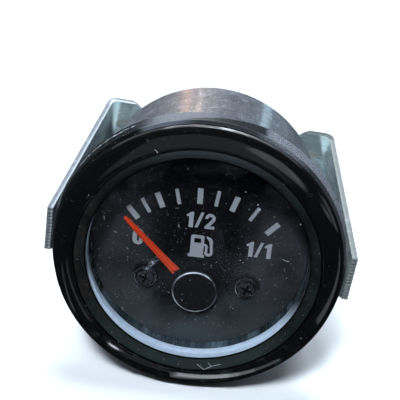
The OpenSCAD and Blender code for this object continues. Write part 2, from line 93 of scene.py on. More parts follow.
LENS_DOTS = (
    (7.85, 16.64, 0.14), (10.49, 14.27, 0.17), (19.11, 11.21, 0.2), (-9.79, -20.85, 0.13),
    (14.08, -17.6, 0.1), (-18.13, 6.05, 0.08), (-4.73, 11.67, 0.09), (8.9, 13.1, 0.09),
    (13.9, 12.1, 0.1), (14.5, 8.0, 0.09), (9.1, 1.5, 0.1), (17.4, 1.1, 0.09), (-4.3, 7.9, 0.07),
)
LENS_STREAKS = (
    (16.75, 3.17, 17.2, 2.95, 0.06), (17.2, 2.95, 17.87, 2.82, 0.065), (17.87, 2.82, 18.05, 3.05, 0.05),
    (-19.02, 8.12, -18.95, 7.4, 0.045), (-16.9, 5.15, -16.3, 4.85, 0.04), (-4.3, 8.2, -4.15, 7.5, 0.035),
)
SMUDGE = ((-7.99, -0.01, -9.11, -1.3, 0.75), (-9.11, -1.3, -10.03, -2.57, 0.65))
TRIM_FIBRE = (
    (2.29, -23.44, 3.84, -24.16, 0.07), (3.84, -24.16, 5.44, -23.28, 0.07),
    (5.44, -23.28, 7.15, -22.65, 0.06), (4.56, -22.85, 5.3, -23.35, 0.06),
)
BEZEL_CHIPS = (
    (-9.92, 23.75, -9.27, 23.27, 0.08), (-8.11, 27.98, -8.0, 28.0, 0.16), (-18.36, 23.97, -18.3, 24.0, 0.14),
    (-22.51, 19.45, -22.4, 19.5, 0.14), (-21.9, 12.8, -21.8, 13.1, 0.08), (22.6, -13.5, 22.8, -13.4, 0.09),
)
ZINC_STRAW_FILM_AND_REFLECTIONS = (
    (-23.6, 13.6, -21.2, 13.9, 0.75), (21.9, 11.2, 24.2, 10.7, 0.8), (24.0, 12.1, 25.6, 10.9, 0.35),
)
ZINC_BLUE_FILM_AND_HIGHLIGHTS = (
    (25.1, 10.0, 26.6, 8.8, 0.3), (26.6, 8.8, 27.2, 6.6, 0.3), (-24.6, 12.0, -23.3, 12.3, 0.28),
)

# Places of x along which a painted highlight runs up the bracket's bends, with its widest and narrowest
# reach

ZINC_BEND_HIGHLIGHTS = ((-24.3, 1.7, 0.7), (26.3, 2.2, 1.0))

# Scratches of the barrel: length, gap, thinness, least noise, turn on its surface

BARREL_SCRATCHES = (
    (5.0, 0.4, 0.03, 0.5, 1.3), (3.2, 0.36, 0.028, 0.48, 0.35), (2.6, 0.3, 0.028, 0.52, -0.6),
)

# Panes of light: name, pieces that show it, place, aim, side, two sizes, radiance, shape, colour

FLOOR_Z = CAD_BOX[0][2] / MM
BEZEL = ("bezel_ring",)
CASE = ("case_shell",)
DOWN, UP, ACROSS = (0, 0, -1), (0, 0, 1), (1, 0, 0)
COOL, WARM, BLUE = (0.85, 0.93, 1.0), (1.0, 0.56, 0.36), (0.55, 0.84, 1.0)
GLINTS = (
    ("wide ceiling", BEZEL, (-70, 352, 550), DOWN, ACROSS, 1660, 735, 3.0),
    ("middle ceiling", BEZEL, (55, 352, 549), DOWN, ACROSS, 690, 735, 4.0),
    ("near ceiling", BEZEL, (-5, 352, 548), DOWN, ACROSS, 550, 735, 4.0),
    ("bright ceiling", BEZEL, (115, 352, 547), DOWN, ACROSS, 170, 735, 12.0),
    ("brightest ceiling", BEZEL, (78, 352, 546), DOWN, ACROSS, 65, 735, 24.0),
    ("left ceiling", BEZEL, (-255, 352, 545), DOWN, ACROSS, 70, 735, 6.0),
    ("front glow", BEZEL, (-14, -156, 34), (0.1, 0.99, 0.0), ACROSS, 117, 120, 1.4),
    ("upper blob", BEZEL, (38, -101, 38), (-0.27, 0.95, -0.14), ACROSS, 12, 26, 1.6, "ELLIPSE"),
    ("right blob", BEZEL, (57, -98, 26), (-0.41, 0.91, -0.03), ACROSS, 11, 16, 2.6, "ELLIPSE"),
    ("round the blobs", BEZEL, (46, -104, 33), (-0.36, 0.93, -0.05), (1, 0, 0.5), 46, 52, 5.0, "ELLIPSE"),
    ("right glow", BEZEL, (470, -175, 55), (-0.94, 0.33, -0.05), (0.33, 0.94, 0), 190, 160, 3.2),
    ("right foot glow", BEZEL, (375, -330, 0), (-0.75, 0.66, 0.0), (0.66, 0.75, 0), 120, 50, 4.5),
    ("lower left spot", BEZEL, (-18.3, -14.6, FLOOR_Z), UP, ACROSS, 3.4, 2.3, 50.0, "ELLIPSE"),
    ("lower left glow", BEZEL, (-17.5, -14.2, FLOOR_Z + 0.05), UP, (0.7, -0.7, 0), 7, 3.0, 2.6, "ELLIPSE"),
    ("tail line", BEZEL, (-10, -13.9, FLOOR_Z), UP, (1, 0.1, 0), 13, 0.8, 4.0),
    ("under line", BEZEL, (-9, -11.2, FLOOR_Z), UP, (1, 0.08, 0), 14, 0.9, 2.0),
    ("outer left line", BEZEL, (-46, -25, FLOOR_Z), UP, (0.6, 0.8, 0), 32, 4, 2.0),
    ("inner left line", BEZEL, (-36, -37, FLOOR_Z), UP, (0.6, 0.8, 0), 32, 4, 2.0),
    ("right line", BEZEL, (100, -45, FLOOR_Z), UP, (0.94, -0.33, 0), 125, 13, 3.6),
    ("band foot", BEZEL, (10.2, -9.9, FLOOR_Z), UP, (1, -0.1, 0), 27.6, 3.2, 3.2),
    ("band low", BEZEL, (6.8, -9.8, FLOOR_Z + 0.05), UP, (1, -0.05, 0), 19.2, 3.2, 4.0),
    ("band middle", BEZEL, (5.1, -9.8, FLOOR_Z + 0.1), UP, ACROSS, 14.6, 3.0, 5.0),
    ("band high", BEZEL, (4.1, -9.8, FLOOR_Z + 0.15), UP, ACROSS, 11.6, 2.6, 8.0),
    ("back window", CASE, (-107, 365, 300), (0.2, -0.73, -0.6), ACROSS, 215, 260, 5.0),
    ("warm tube", CASE, (-120, 600, 145), (0.2, -0.96, -0.2), UP, 220, 30, 3.8, "RECTANGLE", WARM),
    ("blue tube", CASE, (172, 625, 125), (-0.26, -0.95, -0.14), UP, 70, 24, 6.0, "RECTANGLE", BLUE),
)


# Meshes

def put(name, data):
    """Adds an object to the scene."""
    thing = bpy.data.objects.new(name, data)
    bpy.context.scene.collection.objects.link(thing)
    return thing


def extent(node):
    """Where a CAD node's front, its back and its right side are, in millimetres."""
    low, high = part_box(node)
    return low.y / MM, high.y / MM, high.x / MM


def keep(bm, name, body, node):
    """Turns a bmesh into a piece that rides on a body and stands for a CAD node."""
    mesh = bpy.data.meshes.new(name)
    bm.to_mesh(mesh)
    bm.free()
    for face in mesh.polygons:
        face.use_smooth = True
    mesh.set_sharp_from_angle(angle=math.radians(40))
    piece = put(name, mesh)
    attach(piece, body)
    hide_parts(node)
    return piece


def weigh_normals(piece):
    """Keeps flat faces flat where they meet rounded edges."""
    weighted = piece.modifiers.new("flat faces", "WEIGHTED_NORMAL")
    weighted.keep_sharp = True
    weighted.weight = 80


def soften(bm, width):
    """Rounds every sharp edge by a width in millimetres."""
    sharp = math.radians(28)
    edges = [e for e in bm.edges if len(e.link_faces) == 2 and e.calc_face_angle(0) > sharp]
    bmesh.ops.bevel(
        bm, geom=edges, offset=width * MM, offset_type="OFFSET", segments=2,
        profile=0.5, affect="EDGES", clamp_overlap=True, material=-1,
    )


def turned(profile, centre=(0.0, 0.0), steps=160):
    """Spins a closed outline of [radius, y] about an axis along Y."""
    bm = bmesh.new()
    x, z = centre
    verts = [bm.verts.new(((x + r) * MM, y * MM, z * MM)) for r, y in profile]
    edges = [bm.edges.new((verts[i - 1], v)) for i, v in enumerate(verts)]
    bmesh.ops.spin(
        bm, geom=verts + edges, cent=(x * MM, 0, z * MM), axis=(0, 1, 0),
        angle=math.tau, steps=steps, use_merge=True,
    )
    bmesh.ops.remove_doubles(bm, verts=bm.verts, dist=1e-6)
    bmesh.ops.dissolve_degenerate(bm, dist=1e-7, edges=bm.edges)
    bmesh.ops.recalc_face_normals(bm, faces=bm.faces)
    return bm


def node_copy(node, width):
    """A merged copy of a CAD node's mesh with its sharp edges rounded."""
    bm = bmesh.new()
    bm.from_mesh(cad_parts[node].data)
    bmesh.ops.remove_doubles(bm, verts=bm.verts, dist=1e-6)
    bmesh.ops.dissolve_limit(
        bm, angle_limit=math.radians(0.8), verts=bm.verts, edges=bm.edges, delimit={"NORMAL"},
    )
    soften(bm, width)
    return bm


def arc(cx, cy, rx, ry, start, end, count):
    """Points along part of an ellipse, with angles in degrees."""
    points = []
    for i in range(count + 1):
        a = math.radians(start + (end - start) * i / count)
        points.append((cx + rx * math.cos(a), cy + ry * math.sin(a)))
    return points


def thread(bm, centre, low, high, pitch, depth):
    """Cuts a screw thread into a turned bar by moving its rings of vertices."""
    x, z = centre
    for v in bm.verts:
        y = v.co.y / MM
        across = Vector((v.co.x / MM - x, v.co.z / MM - z))
        if across.length < 0.5 or not low < y < high:
            continue
        turn = math.atan2(across.y, across.x) / math.tau
        phase = (y / pitch + turn) % 1.0
        fade = min(1.0, (y - low) / pitch, (high - y) / pitch)
        cut = depth * fade * (1.0 - min(1.0, 2.6 * abs(phase - 0.5)))
        across *= (across.length - cut) / across.length
        v.co.x = (x + across.x) * MM
        v.co.z = (z + across.y) * MM


# Finishes

def shade(colour, share):
    """A colour made lighter or darker."""
    return tuple(share * c for c in colour)


class Finish:
    """A material round one Principled shader, whose patterns are measured in millimetres."""

    def __init__(self, name, colour, roughness, metallic=0.0, specular=None):
        self.material = bpy.data.materials.new(name)
        self.material.use_nodes = True
        self.tree = self.material.node_tree
        self.shader = self.tree.nodes["Principled BSDF"]
        self.set("Base Color", colour)
        self.set("Roughness", roughness)
        self.set("Metallic", metallic)
        if specular is not None:
            self.set("Specular IOR Level", specular)
        place = self.add("ShaderNodeTexCoord").outputs["Object"]
        self.place = self.mapped(place, (1 / MM, 1 / MM, 1 / MM))
        self.x, self.y, self.z = (self.part(axis, self.place) for axis in "XYZ")
        self.face = self.joined(self.x, self.z)

    # Nodes and sockets

    def add(self, kind, **settings):
        node = self.tree.nodes.new(kind)
        for key, value in settings.items():
            setattr(node, key, value)
        return node

    def feed(self, socket, value):
        if isinstance(value, bpy.types.NodeSocket):
            self.tree.links.new(value, socket)
        else:
            socket.default_value = value

    def set(self, name, value):
        if name == "Base Color" and not isinstance(value, bpy.types.NodeSocket):
            value = (*value, 1.0)
        self.feed(self.shader.inputs[name], value)

    def joined(self, *values):
        """A vector of two or three values."""
        node = self.add("ShaderNodeCombineXYZ")
        for socket, value in zip(node.inputs, values):
            self.feed(socket, value)
        return node.outputs[0]

    def part(self, axis, vector):
        node = self.add("ShaderNodeSeparateXYZ")
        self.feed(node.inputs[0], vector)
        return node.outputs[axis]

    def blend(self, factor, a, b):
        """Colour a where the factor is 0, and colour b where it is 1."""
        node = self.add("ShaderNodeMix", data_type="RGBA")
        self.feed(node.inputs[0], factor)
        for socket, value in ((node.inputs[6], a), (node.inputs[7], b)):
            self.feed(socket, value if isinstance(value, bpy.types.NodeSocket) else (*value, 1.0))
        return node.outputs[2]

    # Sums

    def calc(self, operation, total, *values):
        """Puts a value through an operation, alone or with other values in their order."""
        for value in values or (0.0,):
            node = self.add("ShaderNodeMath", operation=operation)
            self.feed(node.inputs[0], total)
            self.feed(node.inputs[1], value)
            total = node.outputs[0]
        return total

    def times(self, *values):
        return self.calc("MULTIPLY", *values)

    def plus(self, *values):
        return self.calc("ADD", *values)

    def minus(self, a, b):
        return self.calc("SUBTRACT", a, b)

    def most(self, *values):
        return self.calc("MAXIMUM", *values)

    def size(self, value):
        return self.calc("ABSOLUTE", value)

    def length(self, a, b):
        return self.calc("SQRT", self.plus(self.times(a, a), self.times(b, b)))

    def distance(self, x, z):
        """How far a place is from a point of the front, seen square on."""
        return self.length(self.minus(self.x, x), self.minus(self.z, z))

    def vector(self, operation, a, b, output=0):
        node = self.add("ShaderNodeVectorMath", operation=operation)
        self.feed(node.inputs[0], a)
        self.feed(node.inputs["Scale" if operation == "SCALE" else 1], b)
        return node.outputs[output]

    def band(self, value, start, end, low=0.0, high=1.0):
        """Goes smoothly from low to high as value goes from start to end."""
        node = self.add("ShaderNodeMapRange", interpolation_type="SMOOTHSTEP")
        for key, number in zip(("Value", "From Min", "From Max", "To Min", "To Max"),
                               (value, start, end, low, high)):
            self.feed(node.inputs[key], number)
        return node.outputs[0]

    # Maps

    def mapped(self, vector, scale, turn=(0.0, 0.0, 0.0), shift=(0.0, 0.0, 0.0)):
        node = self.add("ShaderNodeMapping")
        self.feed(node.inputs["Vector"], vector)
        node.inputs["Scale"].default_value = scale
        node.inputs["Rotation"].default_value = turn
        node.inputs["Location"].default_value = shift
        return node.outputs["Vector"]

    def polar(self, centre=(0.0, 0.0), reach=BARREL_R):
        """Coordinates that follow a turned surface: round it, along it and out from it."""
        x, z = self.minus(self.x, centre[0]), self.minus(self.z, centre[1])
        return self.joined(self.times(self.calc("ARCTAN2", z, x), reach), self.y, self.length(x, z))

    def unrolled(self, reach=BARREL_R):
        """A flat map of a turned surface: round it, and along its outline."""
        polar = self.polar(reach=reach)
        return self.joined(self.part("X", polar), self.plus(self.part("Y", polar), self.part("Z", polar)))

    # Patterns

    def noise(self, size, detail=3.0, vector=None, rough=0.55):
        node = self.add("ShaderNodeTexNoise")
        self.feed(node.inputs["Vector"], vector or self.place)
        node.inputs["Scale"].default_value = 1.0 / size
        node.inputs["Detail"].default_value = detail
        node.inputs["Roughness"].default_value = rough
        return node.outputs["Fac"]

    def cloud(self, size, detail, start, end, low=0.0, high=1.0, vector=None):
        """Noise of a size, drawn out between two of its levels."""
        return self.band(self.noise(size, detail, vector), start, end, low, high)

    def specks(self, spacing, radius, share, flat=None):
        """Dots of a radius in some of the cells of a given spacing, on a flat map if one is given."""
        node = self.add("ShaderNodeTexVoronoi", voronoi_dimensions="2D" if flat else "3D")
        self.feed(node.inputs["Vector"], flat or self.place)
        node.inputs["Scale"].default_value = 1.0 / spacing
        pick, spread, light = (self.part(axis, node.outputs["Color"]) for axis in "XYZ")
        reach = self.times(self.band(spread, 0.0, 1.0, 0.5, 1.0), radius / spacing)
        near = self.calc("DIVIDE", node.outputs["Distance"], reach)
        return self.times(self.band(near, 1.0, 0.5), self.calc("LESS_THAN", pick, share),
                          self.band(light, 0.0, 1.0, 0.3, 1.0))

    def dust(self, flat, *kinds):
        """Specks of several kinds together, each given as its spacing, radius and share."""
        return self.most(*(self.specks(*kind, flat) for kind in kinds))

    def spot(self, x, z, radius):
        """One dot at a place of its own."""
        return self.band(self.distance(x, z), radius, radius * 0.5)

    def streak(self, x0, z0, x1, z1, width):
        """A straight stroke with round ends between two places."""
        run = Vector((x1 - x0, z1 - z0, 0.0))
        offset = self.vector("SUBTRACT", self.face, (x0, z0, 0.0))
        along = self.vector("DOT_PRODUCT", offset, run / run.length_squared, "Value")
        reach = self.vector("SCALE", run, self.most(self.calc("MINIMUM", along, 1.0), 0.0))
        return self.band(self.vector("DISTANCE", offset, reach, "Value"), width, width * 0.4)

    def marks(self, strokes):
        """Several dots, given by three numbers, or strokes, given by five."""
        return self.most(*(self.spot(*m) if len(m) == 3 else self.streak(*m) for m in strokes))

    def lines(self, length, gap, thin, share, turn=(0.0, 0.0, 0.0), vector=None):
        """Fine lines about as long and as far apart as given, in some places only."""
        stretched = self.mapped(vector or self.place, (1 / length, 1 / length, 1 / gap), turn)
        off = self.size(self.minus(self.noise(1.0, 1.0, stretched), 0.5))
        return self.times(self.band(off, thin, 0.0), self.cloud(length * 0.7, 1.0, share, share + 0.1))

    def mirror(self, index):
        """The share of light that a clear surface mirrors."""
        node = self.add("ShaderNodeFresnel")
        node.inputs["IOR"].default_value = index
        return node.outputs[0]

    # Results

    def layers(self, tone, *coats):
        """Lays colours over a tone, each where its own factor says."""
        for factor, colour in coats:
            tone = self.blend(factor, tone, colour)
        return tone

    def paint(self, tone, *coats):
        """Shows a tone with colours laid over it."""
        self.set("Base Color", self.layers(tone, *coats))

    def roughen(self, size, low, high):
        """Lets the roughness drift between two values."""
        self.set("Roughness", self.cloud(size, 3.0, 0.3, 0.7, low, high))

    def bump(self, height, distance, strength=1.0):
        node = self.add("ShaderNodeBump")
        node.inputs["Distance"].default_value = distance * MM
        node.inputs["Strength"].default_value = strength
        self.feed(node.inputs["Height"], height)
        self.set("Normal", node.outputs[0])


def case_finish(look):
    """Mould-black plastic of the barrel, scuffed grey all over, with some of its shine left."""
    f = Finish("case plastic", look.case_colour, 0.45, specular=0.3)
    f.set("Coat Weight", 0.25)
    f.set("Coat Roughness", 0.13)
    around = f.polar()
    skin = f.joined(*(f.part(axis, around) for axis in "XZY"))
    cloud = f.noise(3.0, 4.0)
    grain = f.noise(0.22, 3.0)
    scratches = (f.lines(length, gap, thin, share, vector=f.mapped(skin, (1, 1, 1), (0.0, turn, 0.0)))
                 for length, gap, thin, share, turn in BARREL_SCRATCHES)
    worn = f.times(f.most(*scratches), f.band(cloud, 0.35, 0.65, 0.25, 0.75))
    drawn = f.noise(0.45, 4.0, f.mapped(around, (0.2, 1.2, 1.0), (0.0, 0.0, 0.5)), 0.75)
    rear = f.times(f.band(f.y, 31.2, 32.3), f.band(grain, 0.42, 0.6), 0.5)
    dust = f.dust(f.unrolled(), (0.9, 0.13, 0.4), (0.45, 0.07, 0.5))
    f.paint(look.case_colour,
            (f.band(cloud, 0.3, 0.7), shade(look.case_colour, 1.9)),
            (f.band(drawn, 0.45, 0.7, 0.0, 0.45), (0.2, 0.2, 0.235)),
            (rear, (0.3, 0.31, 0.33)),
            (worn, (0.45, 0.46, 0.51)),
            (f.times(dust, 0.95), (0.68, 0.7, 0.76)))
    f.roughen(1.2, 0.34, 0.5)
    f.bump(f.plus(f.times(grain, 0.7), worn), 0.03, 0.5)
    return f.material


def flange_finish(look):
    """The flange: dark, with painted shade on its left, over its lower half and in a wedge behind the bezel,
    its front face painted light and shade, a pale line on its left and a grainy right side.
    """
    f = Finish("flange plastic", look.case_colour, 0.3, specular=0.14)
    x, y = f.x, f.y
    unrolled = f.unrolled()
    grain = f.cloud(0.28, 2.0, 0.4, 0.64, vector=unrolled)
    # Outer face: painted shade on its left, a paler grain on its right.
    side = f.layers(
        (0.085, 0.088, 0.105),
        (f.band(x, -9.0, -15.0), SHADOW),
        (f.band(x, 8.0, 13.0), f.blend(grain, (0.055, 0.057, 0.066), (0.3, 0.31, 0.35))))
    # Front face: painted light on its left, painted shade at its far left, darker in the middle and at its
    # far right, grainy on its right.
    front = f.layers(
        (0.16, 0.17, 0.2),
        (f.band(x, -7.0, -2.0), (0.045, 0.047, 0.053)),
        (f.band(x, -11.5, -14.0), SHADOW),
        (f.band(x, 8.0, 11.0), f.blend(grain, (0.1, 0.105, 0.12), (0.26, 0.27, 0.3))),
        (f.band(x, 16.0, 20.0), (0.04, 0.042, 0.048)))
    # A painted shadow wedge where the bezel meets the flange.
    slant = f.plus(f.times(x, -0.156), y, 1.97)
    shadow_wedge = f.times(f.band(slant, 0.2, -0.2), f.band(x, 11.0, 10.0), f.band(x, -8.0, -5.0),
                    f.band(y, -3.05, -2.85))
    # Painted shade over the lower half of the flange and in the wedge.
    black = f.most(shadow_wedge, f.band(f.z, 4.0, 0.0))
    line = f.times(f.band(y, -1.5, -1.25), f.band(y, -0.95, -1.15), f.band(x, -13.5, -15.5),
                   f.band(f.z, 6.0, 9.0), f.cloud(0.6, 3.0, 0.4, 0.64, 0.08, 1.0, unrolled), 0.9)
    dust = f.dust(unrolled, (0.9, 0.1, 0.35), (0.5, 0.06, 0.4))
    f.paint(side,
            (f.band(y, -2.85, -3.05), front),
            (black, (0.012, 0.0125, 0.015)),
            (line, (0.5, 0.53, 0.57)),
            (f.times(dust, f.minus(1.0, f.times(black, 0.8)), 0.6), (0.55, 0.57, 0.62)))
    f.roughen(1.2, 0.26, 0.36)
    f.bump(grain, 0.008, 0.3)
    return f.material


def bezel_finish(look):
    """Deep gloss black with dust, small chips, hairlines and a faint orange peel."""
    f = Finish("bezel gloss", look.bezel_colour, 0.1, specular=0.12)
    film = f.times(f.cloud(3.5, 4.0, 0.52, 0.66), f.band(f.z, -12.0, -24.0, 0.0, 0.8))
    dust = f.times(f.dust(f.unrolled(), (3.4, 0.1, 0.25), (1.4, 0.06, 0.25)), 0.7,
                   f.cloud(9.0, 3.0, 0.4, 0.65, 0.15, 1.0))
    marked = f.most(dust, f.times(f.marks(BEZEL_CHIPS), 0.55))
    hair = f.times(f.lines(3.0, 0.6, 0.012, 0.56, (0.3, 0.9, 0.4)), 0.12)
    f.paint(look.bezel_colour, (film, (0.016, 0.019, 0.017)), (hair, (0.2, 0.2, 0.22)), (marked, DUST))
    f.set("Roughness", f.cloud(4.0, 4.0, 0.3, 0.75, 0.07, 0.14))
    f.bump(f.noise(2.5, 2.0), 0.008, 0.25)
    return f.material


def seal_finish():
    rubber = (0.004, 0.004, 0.004)
    f = Finish("seal rubber", rubber, 0.8, specular=0.1)
    f.paint(rubber, (f.specks(0.7, 0.08, 0.3, f.unrolled()), (0.2, 0.2, 0.21)))
    f.bump(f.noise(0.3), 0.02, 0.5)
    return f.material


def trim_finish(look):
    """Dark satin moulding, a little greenish, with a painted shadow line at each of its edges, painted light
    over its top and foot, and a painted brown reflection on its left.
    """
    f = Finish("trim satin", look.trim_colour, 0.3, specular=0.06)
    # Painted light over the top of the ring.
    top = f.times(f.band(f.z, 10.0, 22.0), f.band(f.size(f.x), 4.0, 15.0, 1.0, 0.3))
    # A painted brown reflection on the left of the ring.
    painted_brown_reflection = f.times(f.band(f.x, -15.0, -21.0), f.cloud(2.6, 3.0, 0.42, 0.6), 0.8)
    around = f.polar()
    out = f.part("Z", around)
    # Painted shadow lines in the gaps at its inner and outer edges.
    border_shadow = f.most(f.band(out, WINDOW_R + 0.27, WINDOW_R + 0.13), f.band(out, TRIM_R - 0.35, TRIM_R - 0.2))
    dust = f.times(f.dust(f.unrolled(), (1.6, 0.1, 0.35), (0.8, 0.06, 0.35)), 0.6)
    f.paint(look.trim_colour,
            (f.cloud(5.0, 3.0, 0.42, 0.66), shade(look.trim_colour, 2.2)),
            (top, (0.042, 0.048, 0.051)),
            # painted light over the foot of the ring
            (f.band(f.z, -8.0, -20.0, 0.0, 0.6), (0.02, 0.027, 0.026)),
            (painted_brown_reflection, (0.02, 0.016, 0.014)),
            (border_shadow, (0.0005, 0.0005, 0.0005)),
            (f.most(dust, f.times(f.marks(TRIM_FIBRE), 0.7)), (0.4, 0.42, 0.44)))
    f.roughen(2.0, 0.3, 0.45)
    f.bump(f.noise(0.25, 2.0, around), 0.006, 0.4)
    return f.material


def lens_front_finish(look):
    """Clear lens: what it mirrors, faint clouds of haze, dust specks, a curl and a smudge."""
    f = Finish("lens front", look.haze_colour, 0.06)
    mirror = f.mirror(1.16)
    moved = f.mapped(f.place, (1, 1, 1), shift=(6.0, 0.0, 3.0))
    haze = f.times(f.cloud(11.0, 3.0, 0.5, 0.75, vector=moved), look.haze)
    dust = f.times(f.dust(f.face, (1.8, 0.115, 0.6), (0.9, 0.085, 0.6), (4.0, 0.15, 0.45)),
                   f.cloud(6.0, 4.0, 0.4, 0.6, 0.55, 1.0), f.band(f.z, 20.0, 8.0, 0.45, 1.0))
    smudge = f.times(f.marks(SMUDGE), f.cloud(0.4, 4.0, 0.46, 0.6), 0.45)
    marks = f.most(f.marks(LENS_DOTS), f.marks(LENS_STREAKS), smudge)
    film = f.most(haze, f.times(dust, 0.95), f.times(marks, 0.9))
    share = f.plus(mirror, film)
    f.set("Alpha", share)
    metal = f.calc("DIVIDE", mirror, share)
    f.set("Metallic", metal)
    f.paint(look.haze_colour, (f.most(dust, marks), (0.62, 0.66, 0.7)), (metal, (1.0, 1.0, 1.0)))
    f.set("Roughness", f.band(film, 0.0, 0.5, 0.04, 0.5))
    return f.material


def lens_back_finish():
    f = Finish("lens back", (0.5, 0.55, 0.6), 0.3, specular=0.1)
    f.set("Alpha", f.cloud(5.0, 3.0, 0.3, 0.8, 0.001, 0.003))
    return f.material


def diffuser_finish(look):
    """White plastic with painted shade on its upper right."""
    f = Finish("diffuser white", look.diffuser_colour, 0.5, specular=0.2)
    drift = f.cloud(1.5, 3.0, 0.3, 0.75, vector=f.polar(reach=RING_R))
    # Painted shade on the upper right of the ring.
    right = f.times(f.band(f.x, 8.0, 14.0), f.band(f.z, -14.5, -6.0))
    f.paint(look.diffuser_colour,
            (drift, shade(look.diffuser_colour, 0.9)),
            (right, (0.02, 0.026, 0.028)),
            (f.specks(0.9, 0.06, 0.3, f.unrolled(RING_R)), (0.25, 0.26, 0.28)))
    f.bump(f.noise(0.4), 0.01, 0.3)
    return f.material


def guide_finish():
    """Frosted wall, dark where it is clear, with painted light over its lower part and painted highlights
    along its ribs there.
    """
    f = Finish("light guide", (0.03, 0.036, 0.04), 0.25, specular=0.2)
    around = f.mapped(f.polar(reach=RING_R), (1.0, 0.06, 0.2))
    streak = f.band(f.noise(0.42, 4.0, around, 0.75), 0.46, 0.66)
    wide = f.cloud(4.0, 2.0, 0.4, 0.66, vector=around)
    # Painted light over the lower part, and painted highlights along the ribs there.
    low = f.times(f.band(f.z, -13.0, -21.5), f.band(f.x, 13.0, 8.0))
    f.paint((0.012, 0.017, 0.018),
            (wide, (0.07, 0.1, 0.12)),
            (f.times(streak, wide, low), (0.14, 0.19, 0.24)),
            (f.times(low, 0.2), (0.1, 0.15, 0.2)),
            (f.specks(0.8, 0.06, 0.3, f.unrolled(RING_R)), DUST))
    f.set("Roughness", f.band(streak, 0.0, 1.0, 0.2, 0.45))
    return f.material


def dial_finish(look):
    """Matte black that greys towards its foot with painted light from the light guide, with paler clouds at
    its sides and painted shade round the screws.
    """
    f = Finish("dial black", look.dial_colour, 0.42, specular=0.06)
    cloud = f.noise(8.0, 3.0)
    pale = f.times(f.band(cloud, 0.35, 0.6, 0.5, 1.0), f.band(f.size(f.x), 6.5, 14.0),
                   f.band(f.z, 18.0, 8.0))
    # Painted light from the light guide towards the foot of the dial.
    low = f.times(f.band(f.plus(f.z, f.band(cloud, 0.3, 0.7, -3.0, 3.0)), -6.0, -24.0),
                  f.band(f.x, 2.0, 20.0, 1.0, 0.55), f.band(f.distance(*PIVOT_AT), 3.5, 8.0, 0.45, 1.0))
    # Painted shade round each screw.
    screw_shade_distance = f.length(f.minus(f.size(f.x), SCREW_X), f.minus(f.z, SCREW_Z + 0.5))
    dust = f.dust(f.face, (1.5, 0.06, 0.3), (0.7, 0.035, 0.4))
    f.paint(look.dial_colour,
            (pale, look.dial_cloud),
            (low, look.dial_foot_glow),
            (f.band(screw_shade_distance, 3.1, 2.4, 0.0, 0.7), (0.001, 0.001, 0.001)),
            (f.times(dust, 0.5), (0.5, 0.52, 0.56)))
    f.roughen(0.5, 0.38, 0.5)
    f.bump(f.noise(0.14, 2.0), 0.008, 0.35)
    return f.material


def ink_finish(look):
    f = Finish("print ink", look.ink_colour, 0.55, specular=0.2)
    f.paint(shade(look.ink_colour, 0.85),
            (f.cloud(0.22, 3.0, 0.3, 0.62), look.ink_colour),
            (f.specks(0.8, 0.07, 0.3, f.face), (0.7, 0.7, 0.74)))
    f.bump(f.noise(0.12), 0.006, 0.4)
    return f.material


def screw_finish():
    """Blackened steel with a painted highlight round the lower edge of each head and painted shade in its
    cross recess.
    """
    f = Finish("blackened screw", (0.0025, 0.0025, 0.003), 0.28, specular=0.04)
    rise = f.minus(f.z, SCREW_Z)
    out = f.length(f.minus(f.size(f.x), SCREW_X), rise)
    # A painted highlight round the lower edge of the head.
    rim_highlight = f.times(f.band(out, 2.02, 2.12), f.cloud(0.9, 3.0, 0.36, 0.6, 0.5, 1.0),
                  f.band(rise, 0.9, -0.9, 0.06, 1.0))
    spots = f.dust(f.face, (0.55, 0.07, 0.4), (1.2, 0.12, 0.25))
    # Painted shade in the cross recess, behind the face of the head.
    f.paint((0.0002, 0.0002, 0.0002),
            (f.band(f.y, 0.12, 0.02), (0.02, 0.02, 0.022)),
            (rim_highlight, (0.34, 0.36, 0.39)),
            (f.times(spots, 0.6), (0.3, 0.31, 0.33)))
    f.roughen(0.3, 0.25, 0.45)
    f.bump(f.noise(0.2), 0.01, 0.4)
    return f.material


def pointer_finish(look):
    """Red plastic, with painted light along its ridge and painted shade down its sides."""
    f = Finish("pointer red", look.pointer_colour, 0.42, specular=0.12)
    tone = f.blend(f.cloud(0.3, 3.0, 0.5, 0.8, 0.0, 0.3), look.pointer_colour, (0.95, 0.16, 0.07))
    # Painted shade down the sides of the blade, lighter towards its ridge.
    f.paint(shade(look.pointer_colour, 0.55),
            (f.band(f.y, 0.42, 0.25, 0.0, 0.4), tone),
            (f.specks(0.9, 0.05, 0.3, f.face), (0.9, 0.55, 0.45)))
    f.roughen(0.4, 0.36, 0.5)
    f.bump(f.noise(0.15), 0.008, 0.35)
    return f.material


def hub_finish(look):
    """Satin black moulding with a painted highlight along its rim."""
    f = Finish("hub black", look.hub_colour, 0.34, specular=0.15)
    out = f.distance(*PIVOT_AT)
    rise = f.minus(f.z, PIVOT_AT[1])
    # A painted highlight along the rim, upper and lower.
    upper = f.times(f.band(out, 4.54, 4.62), f.band(f.y, 0.04, -0.06), f.band(rise, 0.5, 3.8, 0.16, 1.0),
                    f.band(f.x, 3.2, 2.4, 0.3, 1.0))
    lower = f.times(f.band(out, 4.4, 4.5), f.band(out, 4.72, 4.64), f.band(rise, 1.0, -2.0),
                    f.band(f.x, 3.4, 1.5, 0.35, 1.0))
    lit = f.times(f.most(upper, lower), f.cloud(2.4, 3.0, 0.3, 0.62, 0.5, 1.0),
                  f.band(f.size(f.minus(rise, 1.2)), 1.4, 2.6, 0.45, 1.0))
    dust = f.dust(f.face, (1.0, 0.05, 0.35), (2.2, 0.08, 0.3))
    f.paint(look.hub_colour, (lit, (0.78, 0.83, 0.9)), (dust, (0.42, 0.44, 0.47)))
    f.roughen(0.7, 0.3, 0.42)
    f.bump(f.noise(0.2), 0.008, 0.3)
    return f.material


